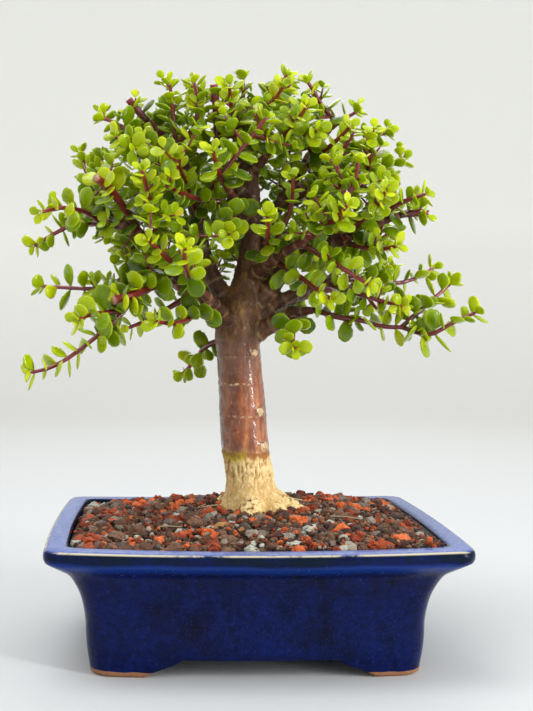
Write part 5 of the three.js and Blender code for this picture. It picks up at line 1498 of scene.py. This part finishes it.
def grow_leaves(crown, stem, main, arm, settings, rng):
    """Leaf pairs along one stem: those of the solid, one more between each two, and two small
    pairs at the tip, unless it was cut. A pair stands a quarter turn from the one before, with
    those between halfway, and leans more towards the tip the nearer it is to it. Returns the
    leaves, the places of the pairs along the stem, and where side shoots start."""
    spine, start, _, seed, cut = stem
    first = start + (BARE_MAIN if main else BARE_SIDE) + (0.5 if main else 0)
    room = spine.length - first - (BARE_CUT if cut else BARE_TIP)
    count = max(1, int(math.floor(room / CAD_SPACING + 0.5)))
    tip_size, tip_lean = (0.95, 66) if cut else (0.72, 56)
    full = settings.length * 1000 * OPEN_ARMS.get(arm, 1.0)
    leaves, nodes, shoots = [], [], []
    turn = draw(seed, 0) * math.pi
    for half in range(2 * count + 1):
        k = half // 2
        amount = half / 2 / count
        distance = first + room * amount
        step = [row[0] for row in spine.at(distance)]
        grown = between(1.06, tip_size, amount**1.5)
        lean = between(82, tip_lean, amount) + 8 * spread(seed, k + 80)
        angle = turn + 0.25 * spread(seed, k + 1) + (k % 2) * math.pi / 2
        length = full * grown * (1 + 0.14 * spread(seed, k + 40))
        if half % 2:
            angle += math.pi / 4
            length *= rng.uniform(0.72, 0.98)
            lean += rng.uniform(-6, 10)
        nodes.append(distance)
        for side in (0, math.pi):
            twist = (0.9 if arm in OPEN_ARMS else 0.35) * rng.uniform(-1, 1)
            leaf = crown.add(step, math.radians(lean), angle + side, length, half % 2 == 0, twist)
            if leaf:
                leaves.append((*leaf, amount))
            if half % 2 == 0 and rng.uniform() < shoot_chance(arm, amount):
                shoots.append((step, angle + side + rng.uniform(-0.3, 0.3), amount))
    if not cut:
        step = [row[0] for row in spine.at(spine.length - 0.3)]
        for pair, (lean, length) in enumerate([(50, 0.52), (20, 0.3)]):
            for side in (0, math.pi):
                angle = turn + (count + 1 + pair) * math.pi / 2 + side
                leaf = crown.add(step, math.radians(lean), angle, full * length, True)
                leaves.append((*leaf, 1.0))
    return leaves, nodes, shoots


def grow_shoot(crown, shoot, settings, rng):
    """A short side shoot out of a leaf's axil: two or three pairs that shrink towards its tip.
    Returns its leaves and its stem's points, or nothing where there is no room for leaves."""
    (place, tangent, across, other), angle, amount = shoot
    if in_window(place, crown.limbs):
        return [], None
    out = across * math.cos(angle) + other * math.sin(angle)
    reach = rng.uniform(*SHOOT_REACH)
    way = unit(out * 0.8 + tangent * 0.5 + np.array([0, 0, 0.35]))
    points = [place, place + way * reach * 0.5, place + unit(way + np.array([0, 0, 0.15])) * reach]
    spine = Spine(points, 1.0)
    full = settings.length * 1000
    pairs = 2 if reach < 7.5 else 3
    leaves = []
    twist = rng.uniform(0, math.pi)
    for pair in range(pairs):
        share_out = (pair + 1) / pairs
        step = [row[0] for row in spine.at(spine.length * share_out)]
        length = full * between(0.82, 0.5, share_out) * rng.uniform(0.85, 1.1)
        lean = math.radians(between(80, 52, share_out))
        for side in (0, math.pi):
            leaf = crown.add(step, lean, twist + pair * math.pi / 2 + side, length, False)
            if leaf:
                leaves.append((*leaf, min(1, amount * 0.5 + 0.3 * share_out + 0.2)))
    return (leaves, spine) if leaves else ([], None)


def crown_depth(places):
    """How far out in the dome of the crown a place lies, from 0 in its middle to 1 on its surface:
    ((x + 4) / 124)^2 + ((y - 8) / 98)^2 + ((z - 290) / 92, or 60 below the middle)^2."""
    x, y, z = np.moveaxis(places, -1, 0)
    high = np.where(z > 290, 92, 60)
    return ((x + 4) / 124) ** 2 + ((y - 8) / 98) ** 2 + ((z - 290) / high) ** 2


def open_limbs():
    """Points along the older limbs, which pruning has left bare in front."""
    rows = [smooth_curve([(*point, radius) for point, radius in zip(*LIMBS[name])], 4.0)[1]
            for name in BARE_LIMBS]
    return np.vstack(rows)[:, :3]


def in_window(places, limbs):
    """True where the crown is open: in front of the leader, low round the fork, and in front of
    the bare limbs."""
    x, y, z = np.moveaxis(places, -1, 0)
    leader = (np.abs(x + 2) < 27) & (y < 18) & (z < 344)
    fork = (np.abs(x) < 64) & (z < 254)
    gap = np.abs(places[..., None, :] - limbs)
    beside = (gap[..., 0] < 8) & (gap[..., 2] < 8)
    return leader | fork | (beside & (places[..., None, 1] < limbs[:, 1])).any(axis=-1)


def grow_twigs(crown, starts, settings, rng):
    """Twigs that fill the gaps of the crown. From a node drawn at random several ways are tried,
    and the twig takes the one whose end lies furthest from every leaf so far, within the dome and
    out of its window. Returns (owner, spine, leaves) for each twig that found room."""
    owners, places, tangents = starts
    full = settings.length * 1000
    twigs = []
    for _ in range(TWIG_TRIES):
        at = rng.integers(len(places))
        ways = unit(rng.normal(size=(TWIG_WAYS, 3)) + 0.4 * tangents[at] + np.array([0, 0, 0.25]))
        reach = rng.uniform(*TWIG_REACH, TWIG_WAYS)
        ends = places[at] + ways * reach[:, None]
        away = np.linalg.norm(crown.middles[None, :crown.count] - ends[:, None], axis=2).min(axis=1)
        outside = (crown_depth(ends) > TWIG_DEPTH) | in_window(ends, crown.limbs)
        away = np.where(outside, 0, away)
        best = away.argmax()
        if away[best] < TWIG_ROOM:
            continue
        way, length = ways[best], reach[best]
        lift = np.array([0, 0, 0.12 * length])
        spine = Spine([places[at], places[at] + way * length * 0.5, ends[best] + lift], 1.0)
        pairs = max(2, int(round(length / PAIR_SPACING)))
        twist = rng.uniform(0, math.pi)
        leaves = []
        for pair in range(pairs):
            out = (pair + 1) / pairs
            step = [row[0] for row in spine.at(spine.length * between(0.25, 1, out))]
            size = full * between(1.0, 0.6, out) * rng.uniform(0.85, 1.1)
            lean = math.radians(between(82, 54, out))
            for side in (0, math.pi):
                leaf = crown.add(step, lean, twist + pair * math.pi / 2 + side, size, False,
                                 rng.uniform(-0.4, 0.4))
                if leaf:
                    leaves.append((*leaf, 0.35 + 0.5 * out))
        if leaves:
            twigs.append((owners[at], spine, leaves))
    return twigs


def stem_tube(spine, start, radii, nodes, cut):
    """A young stem: a tube that thins evenly and swells at each pair of leaves by
    0.16 * exp(-(distance - node)^2). A cut stem ends flat. Returns the tube, and for each point
    how far along the stem it lies, its end in the stem's colour, and if the stem was cut."""
    stops = np.linspace(start, spine.length, max(5, int((spine.length - start) / 1.7)))
    radius = between(radii[0], radii[1], (stops - start) / (spine.length - start))
    for node in nodes:
        radius = radius * (1 + 0.16 * np.exp(-((stops - node) ** 2)))
    part = tube(spine, stops, radius, STEM_SIDES, not cut)
    youth = (stops - start) / (spine.length - start)
    rows = np.minimum(np.arange(len(part[0]) - 2) // STEM_SIDES, len(youth) - 1)
    youth = np.r_[youth[rows], 0, 1]
    return part, np.stack([youth, np.full(len(youth), 0.5), np.full(len(youth), float(cut))], 1)


def leafy_piece(name, tubes, leaves, materials, settings, rng):
    """One piece from its stems, given as (part, look of each point), and its leaves. The mesh
    stores for each point how young it is, lowered deep inside the crown as painted shade, a draw
    of its own, and how near it is to a margin."""
    stem_points, stem_quads, stem_fans = pack([part for part, _ in tubes])
    base, axis, face = (np.array([leaf[k] for leaf in leaves]) for k in range(3))
    length, youth = (np.array([leaf[k] for leaf in leaves]) for k in (3, 4))
    # Painted shade: leaves deep inside the crown count as older, so they come out darker.
    youth = youth * between(0.55, 1, np.clip(crown_depth(base), 0, 1))
    cup = rng.uniform(-0.06, 0.14, len(leaves))
    shapes = leaf_shapes(base, axis, face, length, settings.width, settings.thickness, cup)
    quads, fans = leaf_faces()
    per = shapes.shape[1]
    steps = (len(stem_points) + per * np.arange(len(leaves)))[:, None, None]
    all_quads = np.vstack([stem_quads, (quads[None] + steps).reshape(-1, 4)])
    all_fans = np.vstack([stem_fans, (fans[None] + steps).reshape(-1, 3)])
    piece = new_piece(name, np.vstack([stem_points, shapes.reshape(-1, 3)]), all_quads, all_fans)
    # How near each point lies to a leaf's rim, where the paler margin and its painted highlight go.
    round_leaf = np.abs(np.cos(np.arange(LEAF_SIDES) * 2 * np.pi / LEAF_SIDES))
    margin = np.r_[np.tile(round_leaf, len(LEAF_STATIONS)), 0.4, 1.0]
    tint = rng.uniform(0, 1, len(leaves))
    look = np.stack([np.repeat(youth, per), np.repeat(tint, per), np.tile(margin, len(leaves))], 1)
    set_values(piece.data, "look", np.vstack([own for _, own in tubes] + [look]))
    for material in materials:
        piece.data.materials.append(material)
    kind = np.zeros(len(all_quads) + len(all_fans), np.int32)
    kind[:len(stem_quads)] = 1
    kind[len(all_quads):len(all_quads) + len(stem_fans)] = 1
    piece.data.polygons.foreach_set("material_index", kind)
    return piece


def twig_tube(spine):
    """The thin stem of a shoot or twig, with its look."""
    stops = np.linspace(0, spine.length, 5)
    part = tube(spine, stops, between(1.0, 0.6, stops / stops[-1]), TWIG_SIDES, False)
    return part, np.tile([0.9, 0.5, 0.0], (len(part[0]), 1))


def make_sprays(settings, spines):
    """Every spray as one piece: its stems, side shoots, twigs and leaves. Twigs that start on a
    limb are a piece of their own."""
    lines = wood_bars(spines)[1]
    crown = Crown(np.vstack([lines, *cut_ends(spines)]), open_limbs())
    rng = np.random.default_rng(7)
    materials = [leaf_paint(settings), stem_paint(settings)]
    tubes, leaves = ({name: [] for name in [*SPRAYS, "limbs"]} for _ in range(2))
    shoots, owners, nodes_at, headings = [], [], [], []
    for order, (name, spray) in enumerate(SPRAYS.items()):
        for branch, stem in enumerate(stems_of(spray, spines[name], order)):
            spine, start, radii, _, cut = stem
            grown, nodes, buds = grow_leaves(crown, stem, branch == 0, name, settings, rng)
            leaves[name] += grown
            shoots += [(name, bud) for bud in buds]
            tubes[name].append(stem_tube(spine, max(0, start - 1.5), radii, nodes, cut))
            places, tangents, _, _ = spine.at(np.array(nodes))
            owners += [name] * len(nodes)
            nodes_at.append(places)
            headings.append(tangents)
    for name, shoot in shoots:
        grown, spine = grow_shoot(crown, shoot, settings, rng)
        if grown:
            leaves[name] += grown
            tubes[name].append(twig_tube(spine))
    lowest, widest, each = LIMB_STARTS
    limbs = lines[(lines[:, 4] < TRUNK_MARK - 1) & (lines[:, 2] > lowest) & (lines[:, 3] < widest)]
    limbs = limbs[::each, :3]
    owners += ["limbs"] * len(limbs)
    starts = (owners, np.vstack([*nodes_at, limbs]), np.vstack([*headings, 0 * limbs]))
    for name, spine, grown in grow_twigs(crown, starts, settings, rng):
        leaves[name] += grown
        tubes[name].append(twig_tube(spine))
    for name in SPRAYS:
        piece = leafy_piece("leafy_" + name, tubes[name], leaves[name], materials, settings, rng)
        belongs(piece, "leaf", name)
    piece = leafy_piece(
        "leafy_limb_twigs", tubes["limbs"], leaves["limbs"], materials, settings, rng
    )
    belongs(piece, "leaf")


def leaf_paint(settings):
    """Fleshy green leaves: lime at the tips of the stems, darker where old and, as painted shade,
    deep inside the crown, with a paler margin that is partly a painted highlight on the rim,
    fine pale specks, a blush on a few, and a wet gloss. Light soaks in a little."""
    paint = Paint("jade leaf")
    youth, tint, margin = paint.stored("look")[1]
    cloud = paint.noise(160, 3, 0.6)
    aged = paint.plus(paint.times(youth, 0.62), paint.times(tint, 0.42))
    aged = paint.plus(aged, paint.times(paint.minus(cloud, 0.5), 0.5))
    shade = paint.steps(aged, (0.05, settings.shaded), (0.42, settings.grown),
                        (0.95, settings.young))
    # The paler rim: partly the leaf's own margin colour, partly a painted highlight on the rim.
    edge = paint.times(paint.math("POWER", margin, 5.0), 0.35)
    shade = paint.mix(edge, shade, settings.margin)
    fine = paint.noise(2600, 3, 0.6)
    shade = paint.mix(paint.span(fine, 0.55, 0.75, 0, 0.22), shade, settings.margin)
    blush = paint.times(paint.span(tint, 0.93, 1.0), paint.span(cloud, 0.5, 0.65))
    shade = paint.mix(paint.times(blush, 0.5), shade, color(196, 120, 40))
    relief = paint.bump(paint.noise(900, 3, 0.5), 0.0002, 0.4)
    drops = paint.bump(paint.noise(420, 2, 0.5), 0.0005, 0.8)
    rough = paint.span(cloud, 0.3, 0.7, 0.16, 0.34)
    return paint.finish(
        Base_Color=shade, Roughness=rough, Normal=relief, Subsurface_Weight=0.25,
        Subsurface_Radius=(0.6, 1.0, 0.15), Subsurface_Scale=0.0025, Coat_Weight=0.6,
        Coat_Roughness=0.04, Coat_Normal=drops, Specular_IOR_Level=0.05,
    )


def stem_paint(settings):
    """Crimson young stems that turn brown towards the wood, with pale cut ends."""
    paint = Paint("young stem")
    youth, _, cut = paint.stored("look")[1]
    cloud = paint.noise(260, 4, 0.6)
    age = paint.plus(youth, paint.times(paint.minus(cloud, 0.5), 0.8))
    shade = paint.steps(age, (0.0, settings.old_stem), (0.3, settings.stem),
                        (0.9, color(134, 28, 34)))
    shade = paint.mix(paint.span(paint.noise(1500, 3, 0.6), 0.5, 0.8, 0, 0.5), shade,
                      dim(settings.stem, 0.4))
    end = paint.times(cut, paint.span(youth, 0.985, 1.0))
    shade = paint.mix(paint.times(end, 0.6), shade, settings.scar)
    relief = paint.bump(cloud, 0.0004, 0.6)
    return paint.finish(
        Base_Color=shade, Roughness=0.3, Normal=relief, Coat_Weight=0.5, Coat_Roughness=0.06,
    )


# The stage


# Lamps: name, place and size in metres, share of the main light's power
LAMPS = [
    ("key", (1.15, -0.95, 0.62), (0.12, 1.2), 1.0),
    ("top", (-0.5, -0.3, 1.7), (0.9, 0.9), 0.8),
    ("back", (0.3, 1.5, 1.4), (1.2, 1.2), 0.5),
]
LAMP_AIM = (0, 0, 0.2)
FLOOR_SIDES = 128
CAMERA_PLACE = (-60.0, -699.0, 212.0)
CAMERA_YAW = 0.6  # degrees to the right
SENSOR = 36  # millimetres
PICTURE_HEIGHT = 711  # pixels
# How far left of the picture's middle and above it the lines along Y meet, in pixels
VANISHING = (108.5, 27.5)


def make_floor(settings):
    """A floor that turns up into a backdrop all round: a profile of radius and height spun about
    the middle, with an arc between the flat and the upright part. Its paper is painted darker at
    the bend: painted shade."""
    bend = np.linspace(0, math.pi / 2, 16)
    radius = np.r_[np.linspace(60, 1600, 12), 1700 + 700 * np.sin(bend), 2400]
    height = np.r_[np.zeros(12), 700 - 700 * np.cos(bend), 1700]
    angle = np.linspace(0, 2 * np.pi, FLOOR_SIDES, endpoint=False)
    rings = np.stack([radius[:, None] * np.cos(angle), radius[:, None] * np.sin(angle),
                      height[:, None] + 0 * angle], -1)[::-1]
    points, quads, fans = skin(rings)
    middle = fans[FLOOR_SIDES:]  # the top stays open
    floor = new_piece("studio_floor", points, quads, middle)
    paint = Paint("studio paper")
    spot = paint.add("TexCoord").outputs["Object"]
    out = paint.add("VectorMath", {"operation": "LENGTH"}, i0=spot).outputs["Value"]
    # Painted shade: the paper darkens towards the bend, then turns to the backdrop as it rises.
    shade = paint.mix(paint.span(out, 0.5, 1.8), settings.floor, dim(settings.backdrop, 0.74))
    shade = paint.mix(paint.span(paint.height(), 0.02, 0.5), shade, settings.backdrop)
    floor.data.materials.append(paint.finish(Base_Color=shade, Roughness=0.9))
    floor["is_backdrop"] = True


def make_lights(settings):
    """A soft sky, and the lamps, each turned to the middle of the plant."""
    world = bpy.data.worlds.new("soft sky")
    world.use_nodes = True
    sky = world.node_tree.nodes["Background"].inputs
    sky["Color"].default_value = (0.97, 0.985, 1, 1)
    sky["Strength"].default_value = settings.sky
    bpy.context.scene.world = world
    bpy.context.scene.view_settings.view_transform = "Standard"
    for name, place, (wide, high), portion in LAMPS:
        lamp = bpy.data.objects.new(name, bpy.data.lights.new(name, "AREA"))
        lamp.data.shape, lamp.data.size, lamp.data.size_y = "RECTANGLE", wide, high
        lamp.data.energy = portion * settings.key
        lamp.location = place
        lamp.visible_camera = False
        aim = np.array(place) - np.array(LAMP_AIM)
        lamp.rotation_euler = (math.atan2(math.hypot(aim[0], aim[1]), aim[2]), 0,
                               math.atan2(aim[0], -aim[1]))
        bpy.context.scene.collection.objects.link(lamp)


def make_camera(settings):
    """The camera looks along Y, almost square on to the pot, and its lens is shifted so that the
    lines along Y meet where they do in the picture."""
    yaw = math.radians(CAMERA_YAW)
    left, above = VANISHING
    lens = bpy.data.cameras.new("camera")
    lens.sensor_width, lens.lens = SENSOR, settings.lens
    pixels = settings.lens / SENSOR * PICTURE_HEIGHT
    lens.shift_x = (left - pixels * math.tan(yaw)) / PICTURE_HEIGHT
    lens.shift_y = -above / PICTURE_HEIGHT
    lens.clip_start = 0.01
    camera = bpy.data.objects.new("camera", lens)
    camera.location = to_frame(np.array(CAMERA_PLACE))
    camera.rotation_euler = (math.pi / 2, 0, -yaw)
    bpy.context.scene.collection.objects.link(camera)
    bpy.context.scene.camera = camera


# Operators


def all_spines():
    """The spine of each spray's main stem."""
    return {name: Spine(spray_route(spray)) for name, spray in SPRAYS.items()}


class BONSAI_OT_pot(bpy.types.Operator):
    """Builds the glazed pot"""

    bl_idname = "bonsai.pot"
    bl_label = "Build the pot"

    def execute(self, context):
        make_pot(context.scene.bonsai_pot)
        return {"FINISHED"}


class BONSAI_OT_screens(bpy.types.Operator):
    """Gives the drain screens their plastic"""

    bl_idname = "bonsai.screens"
    bl_label = "Paint the drain screens"

    def execute(self, context):
        paint_screens()
        return {"FINISHED"}


class BONSAI_OT_soil(bpy.types.Operator):
    """Fills the pot with soil"""

    bl_idname = "bonsai.soil"
    bl_label = "Fill in the soil"

    def execute(self, context):
        make_soil(context.scene.bonsai_soil)
        return {"FINISHED"}


class BONSAI_OT_stones(bpy.types.Operator):
    """Strews the stones and rootlets over the soil"""

    bl_idname = "bonsai.stones"
    bl_label = "Strew the stones"

    def execute(self, context):
        make_stones(context.scene.bonsai_soil)
        return {"FINISHED"}


class BONSAI_OT_wood(bpy.types.Operator):
    """Grows the trunk, roots and limbs"""

    bl_idname = "bonsai.wood"
    bl_label = "Grow the wood"

    def execute(self, context):
        make_wood(context.scene.bonsai_wood, all_spines())
        return {"FINISHED"}


class BONSAI_OT_sprays(bpy.types.Operator):
    """Grows the young stems and their leaves"""

    bl_idname = "bonsai.sprays"
    bl_label = "Grow the leafy sprays"

    def execute(self, context):
        make_sprays(context.scene.bonsai_leaf, all_spines())
        return {"FINISHED"}


class BONSAI_OT_stage(bpy.types.Operator):
    """Sets up the floor, the lights and the camera"""

    bl_idname = "bonsai.stage"
    bl_label = "Set the stage"

    def execute(self, context):
        make_floor(context.scene.bonsai_stage)
        make_lights(context.scene.bonsai_stage)
        make_camera(context.scene.bonsai_stage)
        return {"FINISHED"}


class BONSAI_PT_panel(bpy.types.Panel):
    """Lists the settings and the steps"""

    bl_idname = "BONSAI_PT_panel"
    bl_label = "Dwarf jade bonsai"
    bl_space_type = "VIEW_3D"
    bl_region_type = "UI"
    bl_category = "Bonsai"

    def draw(self, context):
        for group, steps in PANEL:
            box = self.layout.box()
            settings = getattr(context.scene, group)
            for name in settings.__annotations__:
                box.prop(settings, name)
            for step in steps:
                box.operator(step)


PANEL = [
    ("bonsai_pot", ["bonsai.pot", "bonsai.screens"]),
    ("bonsai_soil", ["bonsai.soil", "bonsai.stones"]),
    ("bonsai_wood", ["bonsai.wood"]),
    ("bonsai_leaf", ["bonsai.sprays"]),
    ("bonsai_stage", ["bonsai.stage"]),
]
GROUPS = {
    "bonsai_pot": PotSettings,
    "bonsai_soil": SoilSettings,
    "bonsai_wood": WoodSettings,
    "bonsai_leaf": LeafSettings,
    "bonsai_stage": StageSettings,
}
CLASSES = [
    *GROUPS.values(), BONSAI_OT_pot, BONSAI_OT_screens, BONSAI_OT_soil, BONSAI_OT_stones,
    BONSAI_OT_wood, BONSAI_OT_sprays, BONSAI_OT_stage, BONSAI_PT_panel,
]


def register():
    """Adds the classes and a group of settings for each to the scene."""
    for made in CLASSES:
        bpy.utils.register_class(made)
    for name, group in GROUPS.items():
        setattr(bpy.types.Scene, name, bpy.props.PointerProperty(type=group))


def unregister():
    """Takes them off again."""
    for name in GROUPS:
        delattr(bpy.types.Scene, name)
    for made in reversed(CLASSES):
        bpy.utils.unregister_class(made)


def main():
    """Registers the add-on, builds every piece in order and works out both boxes."""
    register()
    bpy.ops.bonsai.stage()
    bpy.ops.bonsai.pot()
    bpy.ops.bonsai.screens()
    bpy.ops.bonsai.soil()
    bpy.ops.bonsai.stones()
    bpy.ops.bonsai.wood()
    bpy.ops.bonsai.sprays()
    boxes = {"cad": CAD_BOX, "visual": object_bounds()}
    lists = {name: [[float(v) for v in corner] for corner in box] for name, box in boxes.items()}


if __name__ == "__main__":
    main()
